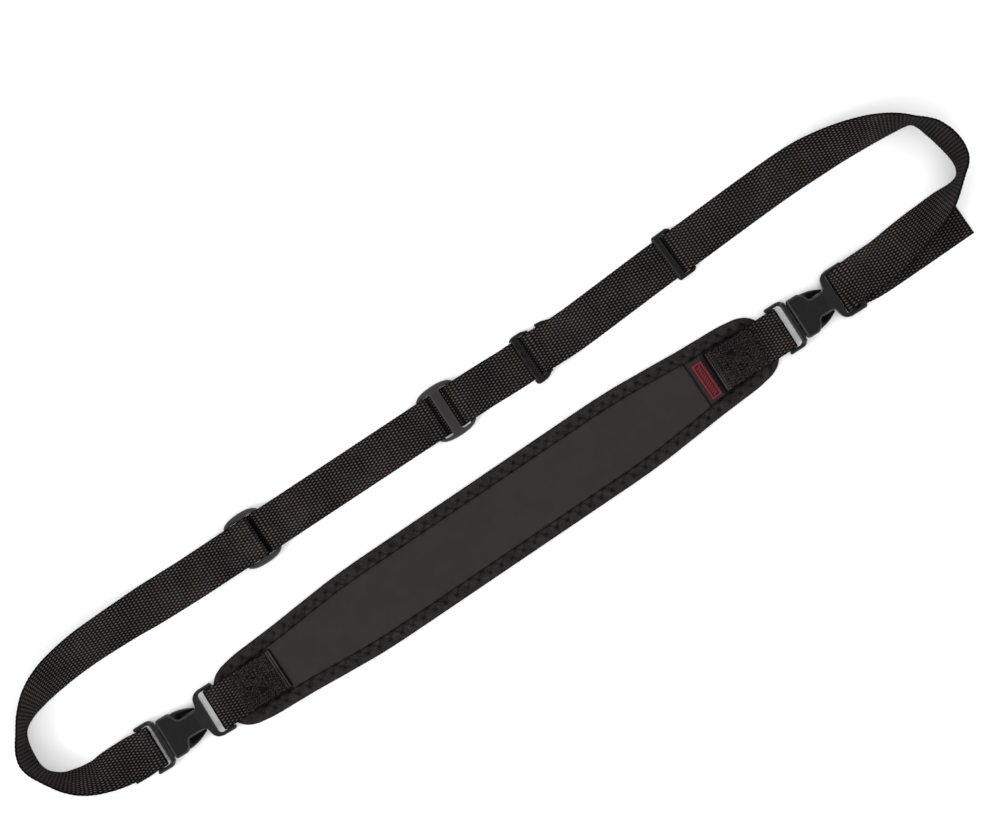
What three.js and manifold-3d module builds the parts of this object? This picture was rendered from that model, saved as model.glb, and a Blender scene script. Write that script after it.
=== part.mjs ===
// A camera neck strap laid out flat as one closed loop: a padded shoulder section whose two ends run
// through side release buckles to a long run of webbing with its adjusters. Millimetres, +Z up.
import * as THREE from 'three';
import { mergeVertices } from 'three/addons/utils/BufferGeometryUtils.js';
import Module from 'manifold-3d';

const wasm = await Module();
wasm.setup();

// Driving dimensions
const GAP = 0.3; // clearance kept between pieces that lie on each other
const WEBBING = { width: 26, thickness: 1.5 };
const TAB_WIDTH = 26.4;
const LYING = WEBBING.thickness / 2; // height of the middle of webbing that lies on the ground
const STEP = 4.8; // longest piece of a webbing run between two cross sections

const BUCKLE = {
  frameHalfWidth: 15.9, armWidth: 2.3, frameBottom: 2.6, frameTop: 5.9, barRadius: 1.4, barHeight: 4.5,
  maleEnd: -29.1, maleBar: -25.9, rail: [-19.0, -16.1], body: [-15.1, -7.4], bodyHalfWidth: 13.2,
  height: 9, neckHalfWidth: 6.4, femaleEnd: 25.7, pocket: { low: 7.7, high: 12.6, wall: 1.8 },
};
const BAR_TO_WEBBING = BUCKLE.barRadius + GAP + LYING; // from a bar's middle to the middle of its webbing
// The two kinds of female end: one carries a sewn loop, the other has a second bar and adjusts.
// neckEnd is where the neck starts to widen to the frame.
const SEWN_BAR = {
  neckEnd: 8.8, wrapAt: 21.6, bar: [20.2, 24.2], slotStart: 14.7, slotHalfWidth: 13.6, slotCorner: 2.2,
};
const ADJUSTING_BAR = {
  neckEnd: 6.8, wrapAt: 16.6, bar: [15.2, 18.6], slotStart: 13.1, slotHalfWidth: 13.35, slotCorner: 0.9,
  endBar: [22.3, 25.7],
};

const TRIGLIDE = { halfWidth: 17.3, endHalfWidth: 12.3, slotHalfWidth: 13.4, thickness: 2.4, edge: 0.8 };
const PAD = { borderWidth: 8.6, panelThickness: 1.0, panelProud: 0.2 };
const PANEL_SPAN = [-158, 143.2];
const LABEL = { span: [143.8, 156.2], halfWidth: 14.6, thickness: 0.6 };

// Where things lie, with the middle of the pad at 0, 0 (heading in degrees from +X)
const PAD_PLACE = { x: -0.4, y: 0.6, heading: 34.1 };
const BUCKLE_LEFT = { x: -185.3, y: -122.4, heading: 31.5 };
const BUCKLE_RIGHT = { x: 192.2, y: 129.2, heading: 32.8 };
const SEWN_TRIGLIDE = {
  x: -149.3, y: -11.5, heading: 33.4, lift: 3.6, ends: [-9, 16.3], slots: [[-4.9, 1.4], [5.8, 11.8]],
};
const MIDDLE_TRIGLIDE = {
  x: -29.3, y: 67.6, heading: 33.2, lift: 1.8, ends: [-15, 12], slots: [[-10.6, -5.3], [1.5, 7.4]],
  slotGrowth: 0.9, // its slots are longer than the webbing needs, at their outer end
};
const LADDER_ADJUSTER = { x: 23.1, y: 101.5, heading: 34 };
const KEEPER = { x: 105.2, y: 160.3, heading: 36 };

// Half the pad's outline: distance from its middle, half width, thickness, and height of the rim's foot
const PAD_ROWS = [
  { along: 0, halfWidth: 27.6, thickness: 4.8, foot: 0 },
  { along: 85, halfWidth: 27.6, thickness: 4.8, foot: 0 },
  { along: 105, halfWidth: 26.9, thickness: 4.8, foot: 0 },
  { along: 130, halfWidth: 25.0, thickness: 4.7, foot: 0 },
  { along: 147, halfWidth: 23.6, thickness: 4.3, foot: 0 },
  { along: 160, halfWidth: 22.9, thickness: 3.5, foot: 0 },
  { along: 180, halfWidth: 21.3, thickness: 3.3, foot: 0 },
  { along: 188, halfWidth: 19.5, thickness: 3.2, foot: 0 },
  { along: 192.5, halfWidth: 17.0, thickness: 2.8, foot: 0 },
  { along: 195, halfWidth: 14.4, thickness: 2.2, foot: 0.1 },
  { along: 196, halfWidth: 13.0, thickness: 1.7, foot: 0.5 },
];
// The pad's rounded rim, from its foot up: how far in from the outline, and the share of the thickness
const PAD_RIM = [
  { inset: 1.8, share: 0 }, { inset: 0.5, share: 0.2 }, { inset: 0, share: 0.48 },
  { inset: 0.5, share: 0.76 }, { inset: 2.0, share: 0.94 }, { inset: 4.5, share: 1 },
];

// The webbing's turn at each end of the loop. It lies flat at first, then stands up on its inner edge, almost
// upright at two places and leaning out a little more between them. lift raises it over a layer below.
const LEFT_TURN = [
  { x: -200.4, y: -44.6, heading: 213, lean: 0, lift: 0 },
  { x: -219.2, y: -56.4, heading: 213, lean: 20, lift: 0 },
  { x: -234.2, y: -66.2, heading: 214, lean: 26, lift: 0 },
  { x: -247.0, y: -75.0, heading: 217, lean: 30, lift: 0 },
  { x: -257.2, y: -83.1, heading: 221, lean: 35, lift: 0 },
  { x: -265.6, y: -90.8, heading: 226, lean: 41, lift: 0 },
  { x: -272.3, y: -98.3, heading: 232, lean: 50, lift: 0 },
  { x: -277.1, y: -105.5, heading: 240, lean: 60, lift: 0 },
  { x: -280.5, y: -112.6, heading: 249, lean: 71, lift: 0 },
  { x: -282.7, y: -119.8, heading: 258, lean: 80, lift: 0 },
  { x: -283.5, y: -125.2, heading: 267, lean: 84, lift: 0 },
  { x: -283.4, y: -130.6, heading: 276, lean: 82, lift: 0 },
  { x: -282.2, y: -136.6, heading: 287, lean: 78, lift: 0 },
  { x: -279.6, y: -142.6, heading: 303, lean: 76, lift: 0 },
  { x: -275.6, y: -147.4, heading: 320, lean: 79, lift: 0 },
  { x: -270.6, y: -150.7, heading: 334, lean: 81, lift: 0 },
  { x: -265.2, y: -152.8, heading: 343, lean: 78, lift: 0 },
  { x: -258.8, y: -154.3, heading: 353, lean: 71, lift: 0 },
  { x: -251.4, y: -154.5, heading: 364, lean: 60, lift: 0.3 },
  { x: -244.0, y: -153.4, heading: 373, lean: 50, lift: 0.8 },
  { x: -236.5, y: -151.1, heading: 381, lean: 40, lift: 1.4 },
  { x: -229.2, y: -147.7, heading: 387, lean: 25, lift: 1.9 },
  { x: -220.0, y: -142.8, heading: 391, lean: 5, lift: 2.6 },
];
const RIGHT_TURN = [
  { x: 175.4, y: 211.1, heading: 36, lean: 0, lift: 0 },
  { x: 195.4, y: 222.9, heading: 29, lean: 25, lift: 0 },
  { x: 211.4, y: 230.5, heading: 24, lean: 41, lift: 0 },
  { x: 224.0, y: 235.4, heading: 18, lean: 54, lift: 0 },
  { x: 234.4, y: 238.4, heading: 13, lean: 66, lift: 0 },
  { x: 242.4, y: 239.8, heading: 5, lean: 77, lift: 0 },
  { x: 248.4, y: 240.0, heading: -6, lean: 84, lift: 0 },
  { x: 254.0, y: 238.6, heading: -19, lean: 80, lift: 0 },
  { x: 259.9, y: 235.6, heading: -31, lean: 73, lift: 0 },
  { x: 265.8, y: 231.3, heading: -40, lean: 70, lift: 0 },
  { x: 270.8, y: 226.4, heading: -49, lean: 70, lift: 0 },
  { x: 274.7, y: 221.2, heading: -60, lean: 73, lift: 0 },
  { x: 276.8, y: 216.6, heading: -74, lean: 77, lift: 0 },
  { x: 277.4, y: 212.4, heading: -90, lean: 82, lift: 0 },
  { x: 276.8, y: 208.4, heading: -105, lean: 86, lift: 0 },
  { x: 275.2, y: 204.4, heading: -116, lean: 84, lift: 0 },
  { x: 272.8, y: 200.2, heading: -122, lean: 77, lift: 0 },
  { x: 269.7, y: 195.6, heading: -127, lean: 67, lift: 0 },
  { x: 265.8, y: 191.0, heading: -131, lean: 57, lift: 0 },
  { x: 261.2, y: 186.1, heading: -134, lean: 49, lift: 0.2 },
  { x: 255.8, y: 180.8, heading: -136, lean: 42, lift: 0.6 },
  { x: 249.2, y: 174.4, heading: -137, lean: 33, lift: 1.2 },
  { x: 241.4, y: 166.8, heading: -140, lean: 22, lift: 1.8 },
  { x: 232.8, y: 158.6, heading: -144, lean: 7, lift: 2.4 },
];

// Heights of the middle of the webbing along each adjuster, in the adjuster's own frame
const OVER_MIDDLE_TRIGLIDE = [
  { along: -25, height: 0.75 }, { along: -20, height: 2.2 }, { along: -16.2, height: 4.8 },
  { along: -13.6, height: 5.3 }, { along: -11.7, height: 5.25 }, { along: -10.0, height: 4.5 },
  { along: -8.4, height: 2.9 }, { along: -6.9, height: 1.3 }, { along: -5.2, height: 0.75 },
  { along: 1.4, height: 0.75 }, { along: 3.1, height: 1.3 }, { along: 4.6, height: 2.9 },
  { along: 6.2, height: 4.5 }, { along: 7.9, height: 5.25 }, { along: 9.8, height: 5.3 },
  { along: 12.6, height: 4.9 }, { along: 16.5, height: 2.8 }, { along: 20.5, height: 1.1 },
  { along: 25, height: 0.75 },
];
const THROUGH_LADDER_ADJUSTER = [
  { along: -16, height: 0.75 }, { along: -7, height: 0.75 }, { along: -4.9, height: 0.85 },
  { along: -3.5, height: 1.6 }, { along: -2.2, height: 2.9 }, { along: -0.8, height: 4.1 },
  { along: 0.9, height: 4.5 }, { along: 2.8, height: 4.4 }, { along: 5.2, height: 3.7, sideways: -0.3 },
  { along: 8, height: 3.2, sideways: -0.5 }, { along: 18, height: 3.2, sideways: -0.7 },
  { along: 21.3, height: 2.6, sideways: -0.7 }, { along: 25, height: 1.2, sideways: -0.7 },
  { along: 29, height: 0.75, sideways: -0.6 },
];
const THROUGH_KEEPER = [
  { along: -14, height: 0.75 }, { along: -3.5, height: 0.75 }, { along: -1.2, height: 0.85 },
  { along: 0.2, height: 1.6 }, { along: 1.5, height: 2.9 }, { along: 2.9, height: 4.1 },
  { along: 4.5, height: 4.5 }, { along: 6.5, height: 4.3 }, { along: 8.8, height: 3.0 },
  { along: 11.5, height: 1.3 }, { along: 15, height: 0.75 },
];
// The sewn loop at the left of its triglide: in below it, round the middle bar and back over the top
const SEWN_END_BELOW = [
  { along: -33, height: 0.75 }, { along: -18, height: 0.75 }, { along: -15, height: 1.4 },
  { along: -12, height: 2.45 }, { along: -9, height: 2.55 }, { along: 1, height: 2.55 },
];
const SEWN_END_ABOVE = [
  { along: 1, height: 7.05 }, { along: -9.4, height: 7.05 }, { along: -12.2, height: 6.2 },
  { along: -15.5, height: 4.1 }, { along: -18.5, height: 2.8 }, { along: -21, height: 2.55 },
  { along: -33, height: 2.55 }, { along: -36, height: 1.7 }, { along: -40, height: 0.75 },
];
const SEWN_TRIGLIDE_WRAP = { at: 4.6, height: 4.8, radius: 2.25 };
// The other webbing starts below that loop and comes up over the triglide's right bar
const FROM_SEWN_TRIGLIDE = [
  { along: -11, height: 0.75 }, { along: 3.5, height: 0.75 }, { along: 5.3, height: 0.8 },
  { along: 7.4, height: 1.6 }, { along: 8.95, height: 3.1 }, { along: 10.1, height: 4.8 },
  { along: 11.2, height: 6.35 }, { along: 12.7, height: 7.05 }, { along: 14.3, height: 7.1 },
  { along: 17.2, height: 6.5 }, { along: 21.5, height: 3.9 }, { along: 26, height: 1.4 },
  { along: 30, height: 0.75 },
];
// The tabs on the pad: the upper layer from the pad to the buckle's bar, and the lower one back again
const TAB_ABOVE = [
  { fromEnd: 0, height: 5.0 }, { fromEnd: 3.5, height: 5.9 }, { fromEnd: 7, height: 6.2 },
  { fromBar: 15, height: 6.2 }, { fromBar: 8.5, height: 6.4 }, { fromBar: 4, height: 6.85 },
];
const TAB_BELOW = [
  { fromBar: 3, height: 2.2 }, { fromBar: 5.2, height: 3.0 }, { fromBar: 8, height: 3.9 },
  { fromBar: 12, height: 4.4 }, { fromEnd: 8, height: 4.4 }, { fromEnd: 3, height: 4.4 },
];
const LEFT_TAB_END = -156.5;
const RIGHT_TAB_END = 157.5;

const degrees = THREE.MathUtils.degToRad;
const colours = { webbing: 0x2b2625, plastic: 0x1f1f21, border: 0x211e1f, panel: 0x353230, label: 0x1c191a };

function finish(colour, roughness) {
  return new THREE.MeshStandardMaterial({ color: colour, roughness, metalness: 0 });
}

function node(name, geometry, material) {
  const mesh = new THREE.Mesh(geometry, material);
  mesh.name = name;
  return mesh;
}

function layAt(object, { x, y, heading }) {
  object.position.set(x, y, 0);
  object.rotation.z = degrees(heading);
  return object;
}

// ---- solids

function toSolid(geometry) {
  const bare = new THREE.BufferGeometry();
  bare.setAttribute('position', geometry.attributes.position);
  bare.setIndex(geometry.index);
  const merged = mergeVertices(bare, 1e-4);
  const vertProperties = new Float32Array(merged.attributes.position.array);
  const triVerts = new Uint32Array(merged.index.array);
  return new wasm.Manifold(new wasm.Mesh({ numProp: 3, vertProperties, triVerts }));
}

function toGeometry(solid) {
  const mesh = solid.getMesh();
  const geometry = new THREE.BufferGeometry();
  geometry.setAttribute('position', new THREE.Float32BufferAttribute(mesh.vertProperties, 3));
  geometry.setIndex([...mesh.triVerts]);
  geometry.computeVertexNormals();
  return geometry;
}

const joined = (solids) => solids.reduce((whole, solid) => whole.add(solid));

function loft(rings) {
  const count = rings[0].length;
  const last = (rings.length - 1) * count;
  const triangles = [];
  for (let start = 0; start < last; start += count) {
    for (let side = 0; side < count; side++) {
      const here = start + side;
      const next = start + ((side + 1) % count);
      triangles.push(here, next, next + count, here, next + count, here + count);
    }
  }
  for (let side = 1; side + 1 < count; side++) {
    triangles.push(0, side + 1, side, last, last + side, last + side + 1);
  }
  const geometry = new THREE.BufferGeometry();
  const coordinates = rings.flat().flatMap((point) => point.toArray());
  geometry.setAttribute('position', new THREE.Float32BufferAttribute(coordinates, 3));
  geometry.setIndex(triangles);
  geometry.computeVertexNormals();
  return geometry;
}

// A flat plate with softened edges
function plate(shape, bottom, top, edge) {
  const geometry = new THREE.ExtrudeGeometry(shape, {
    depth: top - bottom - 2 * edge, curveSegments: 3,
    bevelThickness: edge, bevelSize: edge, bevelOffset: -edge, bevelSegments: 1,
  });
  return toSolid(geometry.translate(0, 0, bottom + edge));
}

function roundedRectangle(left, right, low, high, radius) {
  const shape = new THREE.Shape();
  shape.moveTo(left + radius, low);
  shape.lineTo(right - radius, low);
  shape.absarc(right - radius, low + radius, radius, -Math.PI / 2, 0);
  shape.lineTo(right, high - radius);
  shape.absarc(right - radius, high - radius, radius, 0, Math.PI / 2);
  shape.lineTo(left + radius, high);
  shape.absarc(left + radius, high - radius, radius, Math.PI / 2, Math.PI);
  shape.lineTo(left, low + radius);
  shape.absarc(left + radius, low + radius, radius, Math.PI, 1.5 * Math.PI);
  return shape;
}

// A solid as wide as the strap, from its outline seen from the side
function acrossStrap(profile, halfLength) {
  const settings = { depth: 2 * halfLength, bevelEnabled: false, curveSegments: 2 };
  const geometry = new THREE.ExtrudeGeometry(profile, settings);
  return toSolid(geometry.rotateX(Math.PI / 2).translate(0, halfLength, 0));
}

// A rounded bar that runs across the strap
function bar(left, right, bottom, top, halfLength, radius) {
  return acrossStrap(roundedRectangle(left, right, bottom, top, radius), halfLength);
}

// A square-edged plate, for cutting
function cutter(shape, bottom, top) {
  const settings = { depth: top - bottom, bevelEnabled: false, curveSegments: 3 };
  return toSolid(new THREE.ExtrudeGeometry(shape, settings).translate(0, 0, bottom));
}

function block(left, right, low, high, bottom, top) {
  const geometry = new THREE.BoxGeometry(right - left, high - low, top - bottom);
  return toSolid(geometry.translate((left + right) / 2, (low + high) / 2, (bottom + top) / 2));
}

// Outline that is the same on both sides of the strap's middle line, from its upper half
function mirrored(points) {
  const lower = points.map(([x, y]) => [x, -y]).reverse();
  return new THREE.Shape([...points, ...lower].map(([x, y]) => new THREE.Vector2(x, y)));
}

function quarterBend(from, corner, to, steps = 4) {
  const ends = [from, corner, to].map(([x, y]) => new THREE.Vector2(x, y));
  const curve = new THREE.QuadraticBezierCurve(...ends);
  return curve.getPoints(steps).map((point) => [point.x, point.y]);
}

// ---- webbing

// A cross section's place: the middle of the webbing and the direction across it, towards the loop's inside
function station({ x, y, heading, lean = 0, lift = 0 }, side) {
  const inwards = degrees(heading + 90 * side);
  const tilt = degrees(lean);
  const across = new THREE.Vector3(Math.cos(inwards), Math.sin(inwards), 0).multiplyScalar(Math.cos(tilt));
  across.z = -Math.sin(tilt);
  const height = (WEBBING.width / 2) * Math.abs(Math.sin(tilt)) + LYING * Math.abs(Math.cos(tilt)) + lift;
  return { at: new THREE.Vector3(x, y, height), across };
}

// Stations along a straight piece of a run, given in the frame of the piece of hardware there
function runPast(frame, rows, side) {
  const turn = degrees(frame.heading);
  const forward = new THREE.Vector3(Math.cos(turn), Math.sin(turn), 0);
  const leftward = new THREE.Vector3(-forward.y, forward.x, 0);
  return rows.map(({ along, height, sideways = 0 }) => {
    const at = new THREE.Vector3(frame.x, frame.y, height);
    at.addScaledVector(forward, along).addScaledVector(leftward, sideways);
    return { at, across: leftward.clone().multiplyScalar(side) };
  });
}

// Half a turn round a bar, from below it to above it
function wrapRows({ at, height, radius }, towards) {
  return [-75, -50, -25, 0, 25, 50, 75].map((angle) => ({
    along: at + towards * radius * Math.cos(degrees(angle)),
    height: height + radius * Math.sin(degrees(angle)),
  }));
}

function smoothRun(stations) {
  const curve = new THREE.CatmullRomCurve3(stations.map(({ at }) => at), false, 'centripetal');
  const points = [];
  for (let index = 0; index + 1 < stations.length; index++) {
    const [from, to] = [stations[index], stations[index + 1]];
    const parts = Math.max(1, Math.round(from.at.distanceTo(to.at) / STEP));
    for (let part = 0; part < parts; part++) {
      const share = part / parts;
      const at = curve.getPoint((index + share) / (stations.length - 1));
      points.push({ at, across: from.across.clone().lerp(to.across, share).normalize() });
    }
  }
  points.push(stations[stations.length - 1]);
  return points;
}

function webbing(stations, width) {
  const run = smoothRun(stations);
  const rings = run.map(({ at, across }, index) => {
    const before = run[Math.max(index - 1, 0)].at;
    const after = run[Math.min(index + 1, run.length - 1)].at;
    const travel = after.clone().sub(before).normalize();
    const face = new THREE.Vector3().crossVectors(across, travel).setLength(WEBBING.thickness / 2);
    const half = new THREE.Vector3().crossVectors(travel, face).setLength(width / 2);
    const lowest = Math.abs(half.z) + Math.abs(face.z);
    const middle = at.clone().setZ(Math.max(at.z, lowest));
    const corner = (w, t) => middle.clone().addScaledVector(half, w).addScaledVector(face, t);
    return [corner(1, 1), corner(-1, 1), corner(-1, -1), corner(1, -1)];
  });
  return facingOut(loft(rings));
}

function facingOut(geometry) {
  const { position } = geometry.attributes;
  const corner = (index) => new THREE.Vector3().fromBufferAttribute(position, geometry.index.getX(index));
  let volume = 0;
  for (let index = 0; index < geometry.index.count; index += 3) {
    volume += corner(index).dot(corner(index + 1).cross(corner(index + 2)));
  }
  if (volume < 0) geometry.index.array.reverse();
  geometry.computeVertexNormals();
  return geometry;
}

// ---- pad, in its own frame: its length along X, its underside at z = 0

function padRowAt(along) {
  const rows = PAD_ROWS;
  const distance = Math.abs(along);
  const index = Math.max(1, rows.findIndex((row) => row.along >= distance));
  const [from, to] = [rows[index - 1], rows[index]];
  const share = (distance - from.along) / (to.along - from.along);
  const between = (key) => THREE.MathUtils.lerp(from[key], to[key], share);
  return { halfWidth: between('halfWidth'), thickness: between('thickness'), foot: between('foot') };
}

function padPlaces(from, to, step) {
  const count = Math.round((to - from) / step);
  return Array.from({ length: count + 1 }, (_, index) => from + ((to - from) * index) / count);
}

function padBody() {
  const ends = PAD_ROWS.slice(3).map((row) => row.along);
  const places = [...ends.map((along) => -along).reverse(), ...padPlaces(-120, 120, 16), ...ends];
  const rings = places.map((along) => {
    const { halfWidth, thickness, foot } = padRowAt(along);
    const height = thickness - foot;
    const half = PAD_RIM.map(({ inset, share }) => [halfWidth - inset, foot + height * share]);
    const outline = [...half, ...half.map(([y, z]) => [-y, z]).reverse()];
    return outline.map(([y, z]) => new THREE.Vector3(along, y, z));
  });
  return toSolid(facingOut(loft(rings)));
}

// A strip that follows the pad's upper side, from one place along it to another
function padStrip([from, to], halfWidthAt, bottom, top) {
  const rings = padPlaces(from, to, 16).map((along) => {
    const { thickness } = padRowAt(along);
    const [halfWidth, low, high] = [halfWidthAt(along), thickness + bottom, thickness + top];
    return [[halfWidth, low], [halfWidth, high], [-halfWidth, high], [-halfWidth, low]]
      .map(([y, z]) => new THREE.Vector3(along, y, z));
  });
  return facingOut(loft(rings));
}

function padPanel(grow) {
  const span = [PANEL_SPAN[0] - grow, PANEL_SPAN[1] + grow];
  const top = grow ? 3 : PAD.panelProud;
  const bottom = PAD.panelProud - PAD.panelThickness - grow;
  return padStrip(span, (along) => padRowAt(along).halfWidth - PAD.borderWidth + grow, bottom, top);
}

function buildPad() {
  const pad = new THREE.Group();
  const body = padBody().subtract(toSolid(padPanel(GAP)));
  pad.add(node('pad_body', toGeometry(body), finish(colours.border, 0.95)));
  pad.add(node('pad_panel', padPanel(0), finish(colours.panel, 0.75)));
  const label = padStrip(LABEL.span, () => LABEL.halfWidth, GAP, GAP + LABEL.thickness);
  pad.add(node('label', label, finish(colours.label, 0.85)));
  return layAt(pad, PAD_PLACE);
}

// The webbing tab that joins the pad to a buckle's bar. side is -1 at the pad's left end, 1 at its right.
function tab(side, tabEnd, buckle, wrapAt) {
  const buckleTurn = degrees(buckle.heading);
  const barPlace = new THREE.Vector2(
    buckle.x - PAD_PLACE.x + wrapAt * Math.cos(buckleTurn),
    buckle.y - PAD_PLACE.y + wrapAt * Math.sin(buckleTurn),
  ).rotateAround(new THREE.Vector2(), -degrees(PAD_PLACE.heading));
  const onPad = (rows) => rows.map(({ fromEnd, fromBar, height }) => {
    const along = fromEnd === undefined ? barPlace.x - side * fromBar : tabEnd + side * fromEnd;
    return { along, height, sideways: (barPlace.y * (along - tabEnd)) / (barPlace.x - tabEnd) };
  });
  const wrap = wrapRows({ at: wrapAt, height: BUCKLE.barHeight, radius: BAR_TO_WEBBING }, side).reverse();
  const stations = [
    ...runPast(PAD_PLACE, onPad(TAB_ABOVE), 1),
    ...runPast(buckle, wrap, 1),
    ...runPast(PAD_PLACE, onPad(TAB_BELOW), 1),
  ];
  const name = side < 0 ? 'pad_tab_left' : 'pad_tab_right';
  return node(name, webbing(stations, TAB_WIDTH), finish(colours.webbing, 0.9));
}

// ---- side release buckle, in its own frame: its length along X, the male half at -X

// A bar that webbing is wrapped round, between the frame's two arms
function wrappedBar([left, right]) {
  const { barRadius, barHeight, frameHalfWidth, armWidth } = BUCKLE;
  const [bottom, top] = [barHeight - barRadius, barHeight + barRadius];
  return bar(left, right, bottom, top, frameHalfWidth - armWidth / 2, barRadius * 0.95);
}

function lowToHigh(side, first, second) {
  return [side * first, side * second].sort((a, b) => a - b);
}

function prong(side, tip) {
  const { rail, neckHalfWidth } = BUCKLE;
  const inner = neckHalfWidth + GAP;
  const root = rail[1] - 0.5;
  const outline = [
    ...quarterBend([tip, inner + 1.1], [tip - 5.6, 11.4], [tip - 12.6, 12.2], 6),
    [-8.4, 11.9], [root, 10.8], [root, 8.2],
    ...quarterBend([-3.5, 8.2], [1.5, inner + 0.4], [tip, inner], 4),
  ].map(([x, y]) => new THREE.Vector2(x, side * y));
  return plate(new THREE.Shape(outline), 2.3, 6.7, 0.6);
}

// The half that slides in: a bar for webbing, a raised rail and two prongs
function maleHalf(ends) {
  const { maleEnd, maleBar, rail, body, bodyHalfWidth, height } = BUCKLE;
  const { frameHalfWidth: half, armWidth, frameBottom, frameTop, barRadius } = BUCKLE;
  const frame = roundedRectangle(maleEnd, rail[1], -half, half, 4.2);
  const inside = roundedRectangle(maleEnd - 6, rail[0], armWidth - half, half - armWidth, 2.4);
  const arms = plate(frame, frameBottom, frameTop, 0.9).subtract(cutter(inside, 0, height));
  const squareEnds = [-1, 1].map((side) => {
    const [low, high] = lowToHigh(side, half, half - armWidth);
    return plate(roundedRectangle(maleEnd, maleEnd + 6, low, high, 0.9), frameBottom, frameTop, 0.8);
  });
  const wrapped = wrappedBar([maleEnd + 0.9, maleBar + barRadius]);
  const raisedRail = bar(rail[0], rail[1], 1.6, 7.4, half - armWidth, 1.3);
  const bridge = block(rail[1] - 1, body[0] - GAP, 2 - bodyHalfWidth, bodyHalfWidth - 2, 2, 6.4);
  const prongs = [-1, 1].map((side) => prong(side, ends.neckEnd + 0.4));
  return joined([arms, ...squareEnds, wrapped, raisedRail, bridge, ...prongs]);
}

// The half that takes the prongs: a hollow body, and a neck that widens again to the frame of its bars
function femaleHalf(ends) {
  const { body, bodyHalfWidth, neckHalfWidth: neck, femaleEnd, height, pocket } = BUCKLE;
  const { frameHalfWidth: half, frameBottom, frameTop } = BUCKLE;
  const { neckEnd, slotStart, slotHalfWidth, slotCorner } = ends;
  const outline = mirrored([
    [body[0], bodyHalfWidth - 1], [body[0] + 1, bodyHalfWidth],
    ...quarterBend([body[1], bodyHalfWidth], [-4.4, 11.6], [-3.4, 8.6]),
    ...quarterBend([-2.9, 7.3], [-2.2, neck], [0, neck], 3),
    ...quarterBend([neckEnd, neck], [neckEnd + 1.2, neck], [neckEnd + 1.6, 9.2]),
    ...quarterBend([neckEnd + 1.8, 10.4], [neckEnd + 2.4, half - 0.8], [neckEnd + 7.6, half]),
    [femaleEnd - 1, half], [femaleEnd, half - 1],
  ].reverse());
  const frameStart = slotStart - 0.3;
  const profile = new THREE.Shape([
    [body[0] - 1, 0], [neckEnd - 2, 0], [frameStart, frameBottom],
    [frameStart, frameTop], [neckEnd - 2, height], [body[0] - 1, height],
  ].map(([x, z]) => new THREE.Vector2(x, z)));
  const thick = plate(outline, 0, height, 1.1).intersect(acrossStrap(profile, half + 1));
  const slot = roundedRectangle(slotStart, femaleEnd + 6, -slotHalfWidth, slotHalfWidth, slotCorner);
  const pockets = [-1, 1].map((side) => {
    const [low, high] = lowToHigh(side, pocket.low, pocket.high);
    return block(body[0] - 1, 0, low, high, pocket.wall, height - pocket.wall);
  });
  const frame = plate(outline, frameBottom, frameTop, 0.8);
  const shell = frame.add(thick).subtract(joined([cutter(slot, 0, height), ...pockets]));
  return joined([shell, ...[ends.bar, ends.endBar].filter(Boolean).map(wrappedBar)]);
}

function buildBuckle(name, place, ends) {
  const buckle = new THREE.Group();
  buckle.add(node(`${name}_female`, toGeometry(femaleHalf(ends)), finish(colours.plastic, 0.4)));
  buckle.add(node(`${name}_male`, toGeometry(maleHalf(ends)), finish(colours.plastic, 0.4)));
  return layAt(buckle, place);
}

// ---- adjusters

// A flat frame with bowed ends and two slots
function triglide(name, place) {
  const { halfWidth, endHalfWidth, slotHalfWidth, thickness, edge } = TRIGLIDE;
  const { slotGrowth = 0 } = place;
  const [left, right] = place.ends;
  const middle = (left + right) / 2;
  const bends = [[left, endHalfWidth], [left + 1.2, 16.2], [middle - 6.5, halfWidth], [middle, halfWidth]];
  const bow = new THREE.CubicBezierCurve(...bends.map(([x, y]) => new THREE.Vector2(x, y))).getPoints(5);
  const leftBow = bow.map(({ x, y }) => [x, y]);
  const rightBow = leftBow.slice(0, -1).map(([x, y]) => [left + right - x, y]).reverse();
  const outline = mirrored([...leftBow, ...rightBow].reverse());
  for (const [from, to] of place.slots) {
    outline.holes.push(roundedRectangle(from, to, -slotHalfWidth - slotGrowth, slotHalfWidth, 1.0));
  }
  const frame = toGeometry(plate(outline, place.lift, place.lift + thickness, edge));
  return layAt(node(name, frame, finish(colours.plastic, 0.4)), place);
}

// Two bars and two arms: one bar lies on the webbing, the other below it
function ring(outline, onTop, below) {
  const arms = plate(outline, 1.0, 4.2, 0.7);
  const barHalf = 14.6;
  return joined([
    arms.subtract(block(onTop.from - 3, below.to + 6, -13.5, 13.5, 0, 6)),
    bar(onTop.from, onTop.to, 1.8, onTop.top, barHalf, 0.9),
    bar(below.from, below.to, 0.9, 3.3, barHalf, 0.9),
  ]);
}

function keeper() {
  const outline = mirrored([[-5.6, 14.2], [-4.8, 15.6], [5.4, 15.6], [7.6, 13.9]].reverse());
  const solid = ring(outline, { from: -5.2, to: -0.6, top: 4.4 }, { from: 3.6, to: 7.2 });
  return layAt(node('strap_keeper', toGeometry(solid), finish(colours.plastic, 0.35)), KEEPER);
}

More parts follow.
